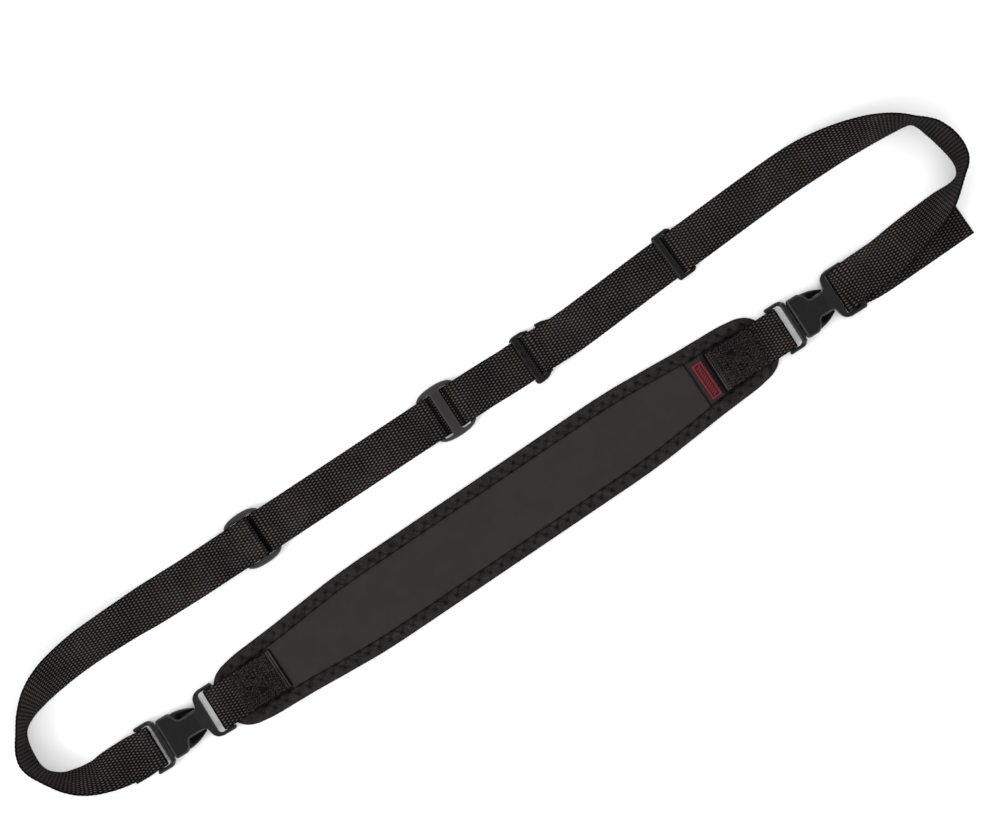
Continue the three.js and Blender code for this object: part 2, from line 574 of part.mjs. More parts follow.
// The toothed bar lies on the webbing; below it a tongue carries the adjuster's second, skewed end
function ladderAdjuster() {
  const outline = new THREE.Shape([
    ...quarterBend([3.4, 13.7], [0.5, 16.0], [-5, 15.8]),
    ...quarterBend([-6, 15.8], [-9.4, 15.6], [-10, 13.8]),
    ...quarterBend([-9.6, -14.4], [-9.6, -17.1], [-6.6, -17.1]),
    ...quarterBend([-5, -17.1], [0.4, -16.9], [2.6, -13.7]),
  ].map(([x, y]) => new THREE.Vector2(x, y)));
  const bars = ring(outline, { from: -8.6, to: -4.4, top: 4.7 }, { from: 0.0, to: 3.4 });
  const pockets = [-9.3, -3.1, 3.1, 9.3].map((y) => block(-7.6, -5.5, y - 2.1, y + 2.1, 3.0, 6));
  const tongue = new THREE.Shape([
    [1.5, -10], [9, -10], [9, -11.6], [19.6, -11.2], [19.8, 11.9],
    [17, 12.9], [13, 14.3], [9, 14.8], [8.3, 14.6], [8.3, 10.5], [1.5, 10],
  ].map(([x, y]) => new THREE.Vector2(x, y)));
  const solid = bars.subtract(joined(pockets)).add(plate(tongue, 0.3, 2.0, 0.4));
  return layAt(node('ladder_adjuster', toGeometry(solid), finish(colours.plastic, 0.35)), LADDER_ADJUSTER);
}

// ---- the two long runs of webbing

function webbingLeft() {
  const inside = -1; // seen along +X of the hardware's frame, the loop's inside is to the right
  const slack = 1.9; // the left loop hangs a little off its bar
  const wrap = { at: BUCKLE.maleBar + slack, height: BUCKLE.barHeight, radius: BAR_TO_WEBBING };
  const overBar = [
    { along: -36, height: 4.9, sideways: 0.8 }, { along: -31, height: 6.3, sideways: 0.4 },
    { along: -27, height: BUCKLE.barHeight + BAR_TO_WEBBING },
  ];
  const underBar = [
    { along: -27, height: BUCKLE.barHeight - BAR_TO_WEBBING }, { along: -31, height: 1.5, sideways: -0.3 },
    { along: -35.5, height: LYING, sideways: -0.6 }, { along: -44, height: LYING, sideways: -0.5 },
  ];
  const stations = [
    ...runPast(SEWN_TRIGLIDE, SEWN_END_BELOW, inside),
    ...runPast(SEWN_TRIGLIDE, wrapRows(SEWN_TRIGLIDE_WRAP, 1), inside),
    ...runPast(SEWN_TRIGLIDE, SEWN_END_ABOVE, inside),
    ...LEFT_TURN.map((row) => station(row, 1)),
    ...runPast(BUCKLE_LEFT, overBar, 1),
    ...runPast(BUCKLE_LEFT, wrapRows(wrap, 1).reverse(), 1),
    ...runPast(BUCKLE_LEFT, underBar, 1),
  ];
  return node('webbing_left', webbing(stations, WEBBING.width), finish(colours.webbing, 0.9));
}

function webbingRight() {
  const inside = -1;
  const wrap = { at: ADJUSTING_BAR.wrapAt, height: BUCKLE.barHeight, radius: BAR_TO_WEBBING };
  const overBars = [
    { along: 40, height: 4.3, sideways: 2.3 }, { along: 34, height: 5.9, sideways: 2.2 },
    { along: 28, height: 7.1, sideways: 2.0 }, { along: 24, height: 7.15, sideways: 1.7 },
    { along: 20.8, height: 7.1, sideways: 1.0 },
    { along: 18, height: BUCKLE.barHeight + BAR_TO_WEBBING, sideways: 0.3 },
  ];
  const tail = [
    { along: 18, height: BUCKLE.barHeight - BAR_TO_WEBBING, sideways: -0.2 },
    { along: 24, height: 1.6, sideways: -0.5 }, { along: 29, height: 1.2, sideways: -1.3 },
    { along: 36, height: LYING, sideways: -2.1 },
    { along: 68, height: LYING, sideways: -1.5 }, { along: 102.6, height: LYING, sideways: -0.4 },
  ];
  const stations = [
    ...runPast(SEWN_TRIGLIDE, FROM_SEWN_TRIGLIDE, inside),
    ...runPast(MIDDLE_TRIGLIDE, OVER_MIDDLE_TRIGLIDE, inside),
    ...runPast(LADDER_ADJUSTER, THROUGH_LADDER_ADJUSTER, inside),
    ...runPast(KEEPER, THROUGH_KEEPER, inside),
    ...RIGHT_TURN.map((row) => station(row, -1)),
    ...runPast(BUCKLE_RIGHT, overBars, 1),
    ...runPast(BUCKLE_RIGHT, wrapRows(wrap, -1).reverse(), 1),
    ...runPast(BUCKLE_RIGHT, tail, 1),
  ];
  return node('webbing_right', webbing(stations, WEBBING.width), finish(colours.webbing, 0.9));
}

// ---- assembly, moved so that the middle of its footprint is at the origin

const strap = new THREE.Group();
strap.add(
  buildPad(),
  tab(-1, LEFT_TAB_END, BUCKLE_LEFT, SEWN_BAR.wrapAt),
  tab(1, RIGHT_TAB_END, BUCKLE_RIGHT, BUCKLE.maleBar),
  buildBuckle('buckle_left', BUCKLE_LEFT, SEWN_BAR),
  buildBuckle('buckle_right', BUCKLE_RIGHT, ADJUSTING_BAR),
  triglide('triglide_sewn', SEWN_TRIGLIDE),
  triglide('triglide_middle', MIDDLE_TRIGLIDE),
  ladderAdjuster(),
  keeper(),
  webbingLeft(),
  webbingRight(),
);
const footprint = new THREE.Box3().setFromObject(strap);
const middle = footprint.getCenter(new THREE.Vector3());
strap.position.set(-middle.x, -middle.y, -footprint.min.z);

const group = new THREE.Group();
group.add(strap);
export default group;
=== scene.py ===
"""A camera neck strap, laid flat as one closed loop: ribbed webbing, a padded shoulder section with its
seam and grip panel, sewn tabs, two side release buckles and four adjusters, on a pale floor."""

import math
from functools import partial

import bmesh
import bpy
import numpy as np
from bpy.props import FloatProperty, FloatVectorProperty, IntProperty, PointerProperty
from mathutils import Matrix, Vector


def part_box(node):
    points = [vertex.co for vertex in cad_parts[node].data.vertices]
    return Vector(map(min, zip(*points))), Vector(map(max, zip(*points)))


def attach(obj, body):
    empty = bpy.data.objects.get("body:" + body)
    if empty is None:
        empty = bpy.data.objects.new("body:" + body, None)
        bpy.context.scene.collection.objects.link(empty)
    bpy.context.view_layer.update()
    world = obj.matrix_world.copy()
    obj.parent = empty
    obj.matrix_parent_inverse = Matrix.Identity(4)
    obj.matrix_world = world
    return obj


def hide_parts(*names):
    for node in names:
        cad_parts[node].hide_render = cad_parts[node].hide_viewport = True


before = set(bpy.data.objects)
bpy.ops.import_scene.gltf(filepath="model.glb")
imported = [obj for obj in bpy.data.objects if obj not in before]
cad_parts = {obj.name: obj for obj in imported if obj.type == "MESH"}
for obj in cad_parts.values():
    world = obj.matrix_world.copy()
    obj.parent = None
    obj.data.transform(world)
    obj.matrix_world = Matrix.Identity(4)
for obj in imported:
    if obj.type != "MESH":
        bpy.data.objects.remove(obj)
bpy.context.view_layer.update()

bl_info = {
    "name": "Neck Strap",
    "version": (1, 0, 0),
    "blender": (4, 5, 0),
    "location": "View3D > Sidebar > Strap",
    "description": "Makes a padded camera neck strap around its frame",
    "category": "Add Mesh",
}

MM = 0.001
BODY = "root"
PAD_TURN = np.array(Matrix.Rotation(math.radians(34.1), 3, "Z"))
PAD_CENTRE = sum(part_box("pad_body"), Vector()) / 2
PAD_CENTRE.z = 0


# ---- sizes and colours that a user would change


def length(name, description, millimetres):
    return FloatProperty(
        name=name, description=description, default=millimetres * MM, unit="LENGTH", precision=5)


def colour(name, description, red, green, blue):
    return FloatVectorProperty(
        name=name, description=description, default=(red, green, blue), subtype="COLOR", min=0, max=1)


class WebbingSettings(bpy.types.PropertyGroup):
    """Webbing of the straps and tabs"""

    rib_pitch: length("Rib pitch", "Distance from one crosswise rib to the next", 2.25)
    rib_depth: length("Rib depth", "How deep the troughs between the ribs are", 0.16)
    dot_pitch: length("Dot pitch", "Distance across from one raised yarn to the next in a rib", 1.81)
    dot_depth: length("Dot depth", "How far the raised yarns stand out", 0.3)
    # The bound edges are dark partly as real selvedge and partly as painted shadow along the edges.
    selvedge_and_shadow: length("Selvedge", "Width of the dark bound edges", 0.9)
    low: colour("Low", "Colour between the raised yarns", 0.0010, 0.0008, 0.0008)
    high: colour("High", "Colour of the raised yarns", 0.078, 0.066, 0.063)


class PadSettings(bpy.types.PropertyGroup):
    """Padded shoulder section"""

    border: length("Border", "Width of the border round the grip panel", 8.6)
    zigzag_pitch: length("Zigzag pitch", "Length of one wave of the border's seam", 8.0)
    zigzag_width: length("Zigzag width", "How far the seam's thread swings", 4.4)
    dimple_depth: length("Dimple depth", "How far the thread pulls the foam in", 0.6)
    border_colour: colour("Border colour", "Colour of the border's jersey", 0.0198, 0.0172, 0.0172)
    panel_colour: colour("Panel colour", "Colour of the grip panel", 0.0180, 0.0162, 0.0152)


class HardwareSettings(bpy.types.PropertyGroup):
    """Buckles and adjusters"""

    grain: length("Grain", "Cell size of the moulded shapes, which rounds their edges", 0.4)
    smoothing: IntProperty(
        name="Smoothing", description="Passes that soften the edges", default=4, min=0, max=40)
    black: colour("Black", "Colour of the buckles' plastic", 0.0050, 0.0048, 0.0050)
    grey: colour("Grey", "Colour of the two sliders", 0.0135, 0.0122, 0.0120)
    jet: colour("Jet", "Colour of the toothed adjuster and the keeper", 0.0035, 0.0033, 0.0035)


class ThreadSettings(bpy.types.PropertyGroup):
    """Sewing thread"""

    thickness: length("Thickness", "Thickness of the thread", 0.42)
    black: colour("Black", "Colour of the sewing thread", 0.024, 0.021, 0.020)
    red: colour("Red", "Colour of the label's thread", 0.30, 0.012, 0.028)


class StudioSettings(bpy.types.PropertyGroup):
    """Floor, light and camera"""

    view_height: FloatProperty(
        name="View height", description="Height of the camera above the floor", default=2.0, unit="LENGTH")
    view_width: FloatProperty(
        name="View width", description="Width of the floor that the camera sees", default=0.6, unit="LENGTH")
    floor: colour("Floor", "Colour of the floor", 0.97, 0.97, 0.97)
    power: FloatProperty(name="Power", description="Power of the left light in watts", default=8, min=0)


class StrapSettings(bpy.types.PropertyGroup):
    """All settings of the neck strap"""

    webbing: PointerProperty(type=WebbingSettings)
    pad: PointerProperty(type=PadSettings)
    hardware: PointerProperty(type=HardwareSettings)
    thread: PointerProperty(type=ThreadSettings)
    studio: PointerProperty(type=StudioSettings)


# ---- node trees


def arithmetic(operation, swapped=False):
    """A method that adds a Math node for that operation."""
    def method(self, *others):
        operands = (*others, self) if swapped else (self, *others)
        return self.network.amount("ShaderNodeMath", dict(enumerate(operands)), operation=operation)
    return method


class Amount:
    """A number that varies in a node tree. Arithmetic on it adds Math nodes."""

    __add__ = __radd__ = arithmetic("ADD")
    __mul__ = __rmul__ = arithmetic("MULTIPLY")
    __sub__ = arithmetic("SUBTRACT")
    __rsub__ = arithmetic("SUBTRACT", swapped=True)
    __truediv__ = arithmetic("DIVIDE")
    __abs__ = arithmetic("ABSOLUTE")
    cosine = arithmetic("COSINE")

    def __init__(self, network, socket):
        self.network = network
        self.socket = socket

    def waves(self, pitch):
        """From 1 to -1 and back over each pitch, starting at 1."""
        return (self / pitch * (2 * math.pi)).cosine()

    def clamped(self, low, high):
        """0 at low and under, 1 at high and over, and smooth between."""
        return self.network.amount(
            "ShaderNodeMapRange", {"Value": self, "From Min": low, "From Max": high}, output="Result",
            interpolation_type="SMOOTHSTEP")


class Network:
    """A node tree under construction."""

    def __init__(self, tree):
        self.tree = tree

    def node(self, kind, values=None, **settings):
        """Adds a node: its settings first, then the values or links of its sockets."""
        made = self.tree.nodes.new(kind)
        for name, value in settings.items():
            setattr(made, name, value)
        for key, value in (values or {}).items():
            self.feed(made.inputs[key], value)
        return made

    def feed(self, socket, value):
        """Gives a socket a value or a link. A node stands for its first output."""
        if isinstance(value, Amount):
            value = value.socket
        if isinstance(value, bpy.types.Node):
            value = value.outputs[0]
        if isinstance(value, bpy.types.NodeSocket):
            self.tree.links.new(value, socket)
        else:
            socket.default_value = value

    def amount(self, kind, values=None, output=0, **settings):
        return Amount(self, self.node(kind, values, **settings).outputs[output])


class Finish(Network):
    """A material under construction, around one Principled shader."""

    def __init__(self, name, **constants):
        self.material = bpy.data.materials.new(name)
        self.material.use_nodes = True
        super().__init__(self.material.node_tree)
        self.shader = self.tree.nodes["Principled BSDF"]
        for socket, value in constants.items():
            self.shader.inputs[socket.replace("_", " ")].default_value = value

    def place(self):
        return self.node("ShaderNodeTexCoord").outputs["Object"]

    def woven_place(self):
        """The place on the webbing as a vector, and along and across it, in metres."""
        vector = self.node("ShaderNodeAttribute", attribute_name="woven").outputs["Vector"]
        parts = self.node("ShaderNodeSeparateXYZ", {"Vector": vector})
        return vector, Amount(self, parts.outputs["X"]), Amount(self, parts.outputs["Y"])

    def attribute(self, name):
        return self.amount("ShaderNodeAttribute", output="Fac", attribute_name=name)

    def noise(self, place, size, detail=2.0, roughness=0.5):
        """Cloudy variation between 0 and 1, with features of about that size in metres."""
        return self.amount(
            "ShaderNodeTexNoise",
            {"Vector": place, "Scale": 1 / size, "Detail": detail, "Roughness": roughness})

    def mixed(self, share, first, second):
        return self.node("ShaderNodeMix", {0: share, 6: first, 7: second}, data_type="RGBA").outputs[2]

    def paint(self, share, first, second, roughness=None):
        """Colours the surface with a mix of two colours."""
        self.feed(self.shader.inputs["Base Color"], self.mixed(share, first, second))
        if roughness is not None:
            self.feed(self.shader.inputs["Roughness"], roughness)

    def relief(self, height, depth, strength=1.0):
        """Bumps the surface: height goes from 0 to 1, and depth is what that stands for in metres."""
        bumped = self.node("ShaderNodeBump", {"Height": height, "Distance": depth, "Strength": strength})
        self.feed(self.shader.inputs["Normal"], bumped)
        return self.material


def shade(colour, *factors):
    """A solid colour with its channels multiplied, by one factor or by one for each channel."""
    if len(factors) < 3:
        factors = (factors or (1.0,)) * 3
    return (*(channel * factor for channel, factor in zip(colour, factors)), 1.0)


# ---- finishes


def webbing_finish(settings, name, half_width, tab=None):
    """Nylon webbing: ribs across it made of raised yarns, each rib half a yarn off from the next, with dark
    hollows between them, dark bound edges that are partly painted shadow, and a little wear and fuzz.
    It gets painted shade where it dives past a bar and where it stands on edge in a turn."""
    finish = Finish(name, Roughness=0.85, Specular_IOR_Level=0.06)
    place, along, across = finish.woven_place()
    drift = finish.noise(place, 5 * MM, detail=3)
    wear = finish.noise(place, 30 * MM, detail=3)
    fuzz = finish.noise(place, 0.45 * MM, detail=3, roughness=0.7)
    pulled = along + 0.9 * MM * (drift - 0.5)
    ribs = pulled.waves(settings.rib_pitch)
    yarns = pulled.waves(2 * settings.rib_pitch) * across.waves(settings.dot_pitch)
    weave = 0.24 * ribs + 0.76 * yarns
    if tab:
        weave = tab.sewn_down(finish, place, along, weave)
    raised = (weave + 0.7 * (fuzz - 0.5) + 0.8 * (wear - 0.5)).clamped(-0.32, 1.1)
    # dark bound edges: partly the real selvedge, partly painted shadow along the webbing's edges
    selvedge_and_shadow = abs(across).clamped(half_width - settings.selvedge_and_shadow, half_width - 0.4 * settings.selvedge_and_shadow)
    # painted shade: darker where the webbing dives past a bar or stands on edge in a turn
    share = raised * (1 - 0.92 * selvedge_and_shadow) * (0.55 + 0.9 * drift) * (1 - 0.85 * finish.attribute("painted_shade"))
    low, high = (shade(each, tab.brightness if tab else 1.0) for each in (settings.low, settings.high))
    warm, cool = shade(high, 1.06, 1.0, 0.93), shade(high, 0.94, 1.0, 1.06)
    tint = finish.noise(place, 9 * MM).clamped(0.35, 0.65)
    finish.paint(share, low, finish.mixed(tint, cool, warm), 0.75 + 0.2 * fuzz)
    return finish.relief(0.5 + 0.2 * ribs + 0.3 * yarns + 0.25 * (fuzz - 0.5), settings.dot_depth)


def jersey_finish(settings):
    """Napped jersey over the pad's foam: matte and fluffy, with painted shade in the dimples where the seam's
    thread pulls it in, in the seam's groove and along its outer rim.
    """
    finish = Finish("pad_jersey", Roughness=0.95, Specular_IOR_Level=0.05)
    place = finish.place()
    nap = finish.noise(place, 0.9 * MM, detail=4, roughness=0.75)
    clouds = finish.noise(place, 5 * MM, detail=3)
    # painted shade in the seam's dimples and groove and along the rim, kept as the pulled attribute
    pulled = finish.attribute("pulled")
    patchy = finish.noise(place, 7 * MM).clamped(0.3, 0.6)
    share = (1.5 * nap + 0.8 * clouds - 0.7) * (1 - pulled * (0.55 + 0.45 * patchy))
    base = settings.border_colour
    finish.paint(share, shade(base, 0.12), shade(base, 1.9))
    return finish.relief(0.6 * nap + 0.4 * clouds, 0.5 * MM)


def grip_finish(settings):
    """Dark grey grip sheet: almost smooth, with faint clouds and a fine leathery grain, and a painted
    shadow line beside the left tab's end.
    """
    finish = Finish("grip_sheet", Roughness=0.7, Specular_IOR_Level=0.15)
    place = finish.place()
    clouds = finish.noise(place, 16 * MM, detail=4, roughness=0.6)
    grain = finish.noise(place, 0.6 * MM, detail=3, roughness=0.6)
    base = settings.panel_colour
    warm, cool = shade(base, 1.12, 1.02, 1.0), shade(base, 0.9, 0.95, 0.98)
    _, along, across = finish.woven_place()
    # painted shadow: a dark line on the panel just beyond the left tab's end
    tab_edge_shadow = (1 - abs(along - LEFT_TAB_EDGE).clamped(0.3 * MM, 0.9 * MM)) * (
        1 - abs(across).clamped(13.2 * MM, 13.8 * MM))
    fabric = finish.mixed(clouds.clamped(0.3, 0.7), cool, warm)
    finish.paint(tab_edge_shadow * 0.9, fabric, shade(base, 0.08), 0.62 + 0.16 * grain)
    return finish.relief(0.7 * grain + 0.3 * clouds, 0.12 * MM)


EDGE_HIGHLIGHT = (0.052, 0.049, 0.050, 1.0)  # painted highlight on the plastic's rounded upper edges


def plastic_finish(name, base, roughness, shine, wear=1.0, highlight_line_pitch=None):
    """Moulded plastic with a fine grain, slight scuffs and a painted highlight on its rounded upper edges,
    whose share the wear argument sets, and with painted highlight lines along its bowed ends, standing in for
    the light on moulded steps, where a line pitch is given."""
    finish = Finish(name, Specular_IOR_Level=shine, IOR=1.5)
    place = finish.place()
    grain = finish.noise(place, 0.28 * MM, roughness=0.6)
    scuffs = finish.noise(place, 5 * MM, detail=5, roughness=0.7)
    worn = scuffs.clamped(0.52, 0.75)
    # share of the lighter body: real scuffs, plus painted highlight lines on the sliders below
    light = worn * 0.6
    # painted highlight lines along the sliders' bowed ends, standing in for light on moulded steps
    if highlight_line_pitch:
        bowed = finish.attribute("bowed")
        lines = 0.5 + 0.5 * bowed.waves(highlight_line_pitch)
        light = light + 0.75 * lines * bowed.clamped(12.6 * MM, 13.2 * MM)
    body = finish.mixed(light, shade(base), shade(base, 2.0))
    # painted highlight on the rounded upper edges, made uneven by the scuffs; wear sets its share
    edge_highlight = finish.attribute("edge_highlight") * (0.25 + 0.75 * scuffs) * wear
    finish.paint(edge_highlight, body, EDGE_HIGHLIGHT, roughness + 0.1 * (grain - 0.5) + 0.08 * worn)
    return finish.relief(grain, 0.05 * MM, 0.6)


def thread_finish(name, base):
    """Twisted thread with a soft sheen."""
    finish = Finish(name, Roughness=0.6, Specular_IOR_Level=0.12)
    twist = finish.noise(finish.place(), 0.5 * MM)
    finish.paint(twist, shade(base, 0.6), shade(base, 1.4))
    return finish.relief(twist, 0.1 * MM)


def label_finish():
    """Close woven strip with fine ribs across the pad."""
    finish = Finish("label_weave", Roughness=0.7, Specular_IOR_Level=0.1)
    place, along, across = finish.woven_place()
    ribs, picks = along.waves(1.15 * MM), across.waves(0.5 * MM)
    fuzz = finish.noise(place, 0.8 * MM)
    share = 0.5 + 0.3 * ribs + 0.12 * picks + 0.4 * (fuzz - 0.5)
    finish.paint(share, (0.004, 0.0035, 0.0035, 1.0), (0.030, 0.027, 0.026, 1.0))
    return finish.relief(0.5 + 0.3 * ribs + 0.2 * picks, 0.12 * MM)


# ---- shapes


def hermite(keys, values, at):
    """A smooth curve through values at keys, read at the places at. Values may be numbers or vectors."""
    keys, values, at = np.asarray(keys, float), np.asarray(values, float), np.asarray(at, float)
    slopes = np.gradient(values, keys, axis=0)
    index = np.clip(np.searchsorted(keys, at, side="right") - 1, 0, len(keys) - 2)
    span = keys[index + 1] - keys[index]
    t = (at - keys[index]) / span
    if values.ndim > 1:
        t, span = t[:, None], span[:, None]
    return (
        (2 * t**3 - 3 * t**2 + 1) * values[index] + (t**3 - 2 * t**2 + t) * span * slopes[index]
        + (3 * t**2 - 2 * t**3) * values[index + 1] + (t**3 - t**2) * span * slopes[index + 1]
    )


def unit(vectors):
    return vectors / np.linalg.norm(vectors, axis=-1, keepdims=True)


def bump(distance, reach):
    """1 at no distance, falling away smoothly over about that reach."""
    return np.exp(-(distance / reach) ** 2)


def ramp(values, low, high):
    """0 at low and under, 1 at high and over, and smooth between."""
    share = np.clip((values - low) / (high - low), 0, 1)
    return share * share * (3 - 2 * share)


def placed(name, data):
    """A new object in the scene."""
    made = bpy.data.objects.new(name, data)
    bpy.context.scene.collection.objects.link(made)
    return made


def made_real(made, name):
    """A new object whose plain mesh is what the first one's modifiers make, in place of the first one."""
    graph = bpy.context.evaluated_depsgraph_get()
    mesh = bpy.data.meshes.new_from_object(made.evaluated_get(graph), depsgraph=graph)
    mesh.name = name
    bpy.data.objects.remove(made)
    return placed(name, mesh)


def keep(mesh, name, values, kind="FLOAT"):
    """Keeps a number or a vector for each point of a mesh, for its material to read."""
    attribute = mesh.attributes.new(name, kind, "POINT")
    attribute.data.foreach_set("value" if kind == "FLOAT" else "vector", np.ravel(values))


def read_points(mesh, what):
    """The places or the normals of a mesh's points."""
    found = np.empty(len(mesh.vertices) * 3)
    mesh.vertices.foreach_get(what, found)
    return found.reshape(-1, 3)


def mesh_object(name, points, faces, smooth=True):
    mesh = bpy.data.meshes.new(name)
    mesh.from_pydata([tuple(p) for p in points], [], [tuple(f) for f in faces])
    mesh.polygons.foreach_set("use_smooth", [smooth] * len(mesh.polygons))
    mesh.update()
    return placed(name, mesh)


def tube(name, points):
    """A closed mesh through rings of points, with a face at each end."""
    rings, columns = points.shape[:2]
    faces = [tuple(reversed(range(columns))), tuple(range((rings - 1) * columns, rings * columns))]
    for ring in range(rings - 1):
        for column in range(columns):
            here, beside = ring * columns + column, ring * columns + (column + 1) % columns
            faces.append((here, beside, beside + columns, here + columns))
    made = mesh_object(name, points.reshape(-1, 3), faces)
    shape = bmesh.new()
    shape.from_mesh(made.data)
    bmesh.ops.recalc_face_normals(shape, faces=shape.faces)
    shape.to_mesh(made.data)
    shape.free()
    return made


def merged_copy(node):
    """A copy of a CAD node's mesh with its vertices joined, as a bmesh."""
    shape = bmesh.new()
    shape.from_mesh(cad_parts[node].data)
    bmesh.ops.remove_doubles(shape, verts=shape.verts, dist=1e-6)
    return shape


def neighbours(vertex, among):
    return [edge.other_vert(vertex) for edge in vertex.link_edges if edge.other_vert(vertex) in among]


def next_section(section, left):
    """The next cross section's corners, in the same order. Each corner has two ahead: one is straight on, and
    the other, across a face's diagonal, is straight on from the corner beside it."""
    ahead = [set(neighbours(vertex, left)) for vertex in section]
    if not all(ahead):
        return None
    matches = []
    for beside in (-1, 1):
        shared = [ahead[corner] & ahead[(corner + beside) % 4] for corner in range(4)]
        matches.append([found.pop() for found in shared])
    return min(matches, key=lambda match: sum((a.co - b.co).length for a, b in zip(section, match)))


def webbing_sections(node, first_end):
    """The corners of each cross section of a webbing node, from the end that lies furthest in a direction."""
    shape = merged_copy(node)
    ends = {vertex for vertex in shape.verts if len(vertex.link_edges) < 6}
    start = max(ends, key=lambda vertex: vertex.co.dot(Vector(first_end)))
    end_section = set()
    for vertex in [start, *neighbours(start, ends)]:
        end_section.update(neighbours(vertex, ends))
    end_section.discard(start)
    thin, wide, opposite = sorted(end_section, key=lambda vertex: (vertex.co - start.co).length)
    section, left, found = [start, wide, opposite, thin], set(shape.verts), []
    while section:
        found.append([tuple(vertex.co) for vertex in section])
        left.difference_update(section)
        section = next_section(section, left)
    shape.free()
    return np.array(found)


class Run:
    """A run of webbing, read from its CAD node: its middle line, and the directions across and out of it."""

    def __init__(self, node, first_end):
        corners = webbing_sections(node, first_end)
        self.middles = corners.mean(axis=1)
        self.across = (corners[:, 0] - corners[:, 1] - corners[:, 2] + corners[:, 3]) / 4
        self.face = (corners[:, 0] + corners[:, 1] - corners[:, 2] - corners[:, 3]) / 4
        steps = np.linalg.norm(np.diff(self.middles, axis=0), axis=1)
        self.keys = np.concatenate([[0], np.cumsum(steps)])
        self.length = float(self.keys[-1])
        self.half_width = float(np.linalg.norm(self.across[0]))
        self.half_thickness = float(np.linalg.norm(self.face[0]))

    def at(self, distances):
        """Middles, and unit directions across and out of the face, at distances along the run."""
        middles = hermite(self.keys, self.middles, distances)
        across = unit(hermite(self.keys, unit(self.across), distances))
        face = hermite(self.keys, unit(self.face), distances)
        face = unit(face - across * np.sum(face * across, axis=1, keepdims=True))
        return middles, across, face

    def surface(self, distances, sideways, lift=0.0):
        """Points on the outer face, that far across from the middle and above the face."""
        distances, sideways = np.broadcast_arrays(np.asarray(distances, float), np.asarray(sideways, float))
        middles, across, face = self.at(distances)
        return middles + across * sideways[:, None] + face * (self.half_thickness + lift)


# ---- geometry node trees


class Pattern(Network):
    """A Geometry Nodes tree with a geometry in, a geometry out and named numbers as further inputs."""

    def __init__(self, name, *numbers):
        super().__init__(bpy.data.node_groups.new(name, "GeometryNodeTree"))
        self.sockets = {}
        for each in ("Geometry", *numbers):
            kind = "NodeSocketFloat" if each in numbers else "NodeSocketGeometry"
            socket = self.tree.interface.new_socket(name=each, in_out="INPUT", socket_type=kind)
            self.sockets[each] = socket.identifier
        self.tree.interface.new_socket(name="Geometry", in_out="OUTPUT", socket_type="NodeSocketGeometry")
        entry = self.node("NodeGroupInput")
        self.inputs = [Amount(self, entry.outputs[each]) for each in self.sockets]

    def finish(self, geometry, material):
        """Ends the tree with real geometry in one material."""
        real = self.node("GeometryNodeRealizeInstances", {"Geometry": geometry})
        painted = self.node("GeometryNodeSetMaterial", {"Geometry": real, "Material": material})
        self.node("NodeGroupOutput", {"Geometry": painted})

    def run_on(self, made, name, values):
        """Runs the tree on an object, which becomes a plain mesh of that name."""
        modifier = made.modifiers.new("pattern", "NODES")
        modifier.node_group = self.tree
        for key, value in values.items():
            modifier[self.sockets[key]] = value
        made.update_tag()
        return made_real(made, name)


def rib_pattern(material):
    """Presses the troughs between a webbing's crosswise ribs into its surface."""
    pattern = Pattern("crosswise_ribs", "Rib Pitch", "Rib Depth")
    geometry, pitch, depth = pattern.inputs
    woven = pattern.node("GeometryNodeInputNamedAttribute", {"Name": "woven"}, data_type="FLOAT_VECTOR")
    along = pattern.amount("ShaderNodeSeparateXYZ", {"Vector": woven})
    trough = 0.5 - 0.5 * along.waves(pitch)
    normal = pattern.node("GeometryNodeInputNormal")
    offset = pattern.node(
        "ShaderNodeVectorMath", {"Vector": normal, "Scale": trough * depth * -1}, operation="SCALE")
    moved = pattern.node("GeometryNodeSetPosition", {"Geometry": geometry, "Offset": offset})
    pattern.finish(moved, material)
    return pattern


def stitch_pattern(material):
    """Lays one rounded stitch after another along curves."""
    pattern = Pattern("stitches", "Pitch", "Stitch Length", "Thickness", "Turn")
    curve, pitch, stitch_length, thickness, turn = pattern.inputs
    spaced = pattern.node("GeometryNodeResampleCurve", {"Curve": curve, "Length": pitch}, mode="LENGTH")
    tangent = pattern.node("GeometryNodeInputTangent")
    facing = pattern.node("FunctionNodeAlignRotationToVector", {"Vector": tangent}, axis="X")
    upright = pattern.node("ShaderNodeCombineXYZ", {"Z": turn})
    aside = pattern.node("FunctionNodeEulerToRotation", {"Euler": upright})
    turned = pattern.node(
        "FunctionNodeRotateRotation", {"Rotation": facing, "Rotate By": aside}, rotation_space="LOCAL")
    shape = pattern.node("GeometryNodeMeshUVSphere", {"Segments": 6, "Rings": 5, "Radius": 0.5})
    size = pattern.node("ShaderNodeCombineXYZ", {"X": stitch_length, "Y": thickness, "Z": thickness})
    thread = pattern.node("GeometryNodeTransform", {"Geometry": shape, "Scale": size})
    smooth = pattern.node("GeometryNodeSetShadeSmooth", {"Geometry": thread})
    laid = pattern.node(
        "GeometryNodeInstanceOnPoints", {"Points": spaced, "Instance": smooth, "Rotation": turned})
    pattern.finish(laid, material)
    return pattern


def curve_object(name, lines):
    """Straight-sided open curves through lists of points."""
    curve = bpy.data.curves.new(name, "CURVE")
    curve.dimensions = "3D"
    for points in lines:
        spline = curve.splines.new("POLY")
        spline.points.add(len(points) - 1)
        spline.points.foreach_set("co", [value for point in points for value in (*point, 1.0)])
    return placed(name, curve)


def sewn(name, lines, material, settings, pitch, stitch=None, thickness=None, turn=0.0):
    """Stitches along lines of points, as one mesh."""
    return stitch_pattern(material).run_on(curve_object(name + "_line", lines), name, {
        "Pitch": pitch, "Stitch Length": stitch or pitch * 0.94,
        "Thickness": thickness or settings.thickness, "Turn": turn})


# ---- webbing

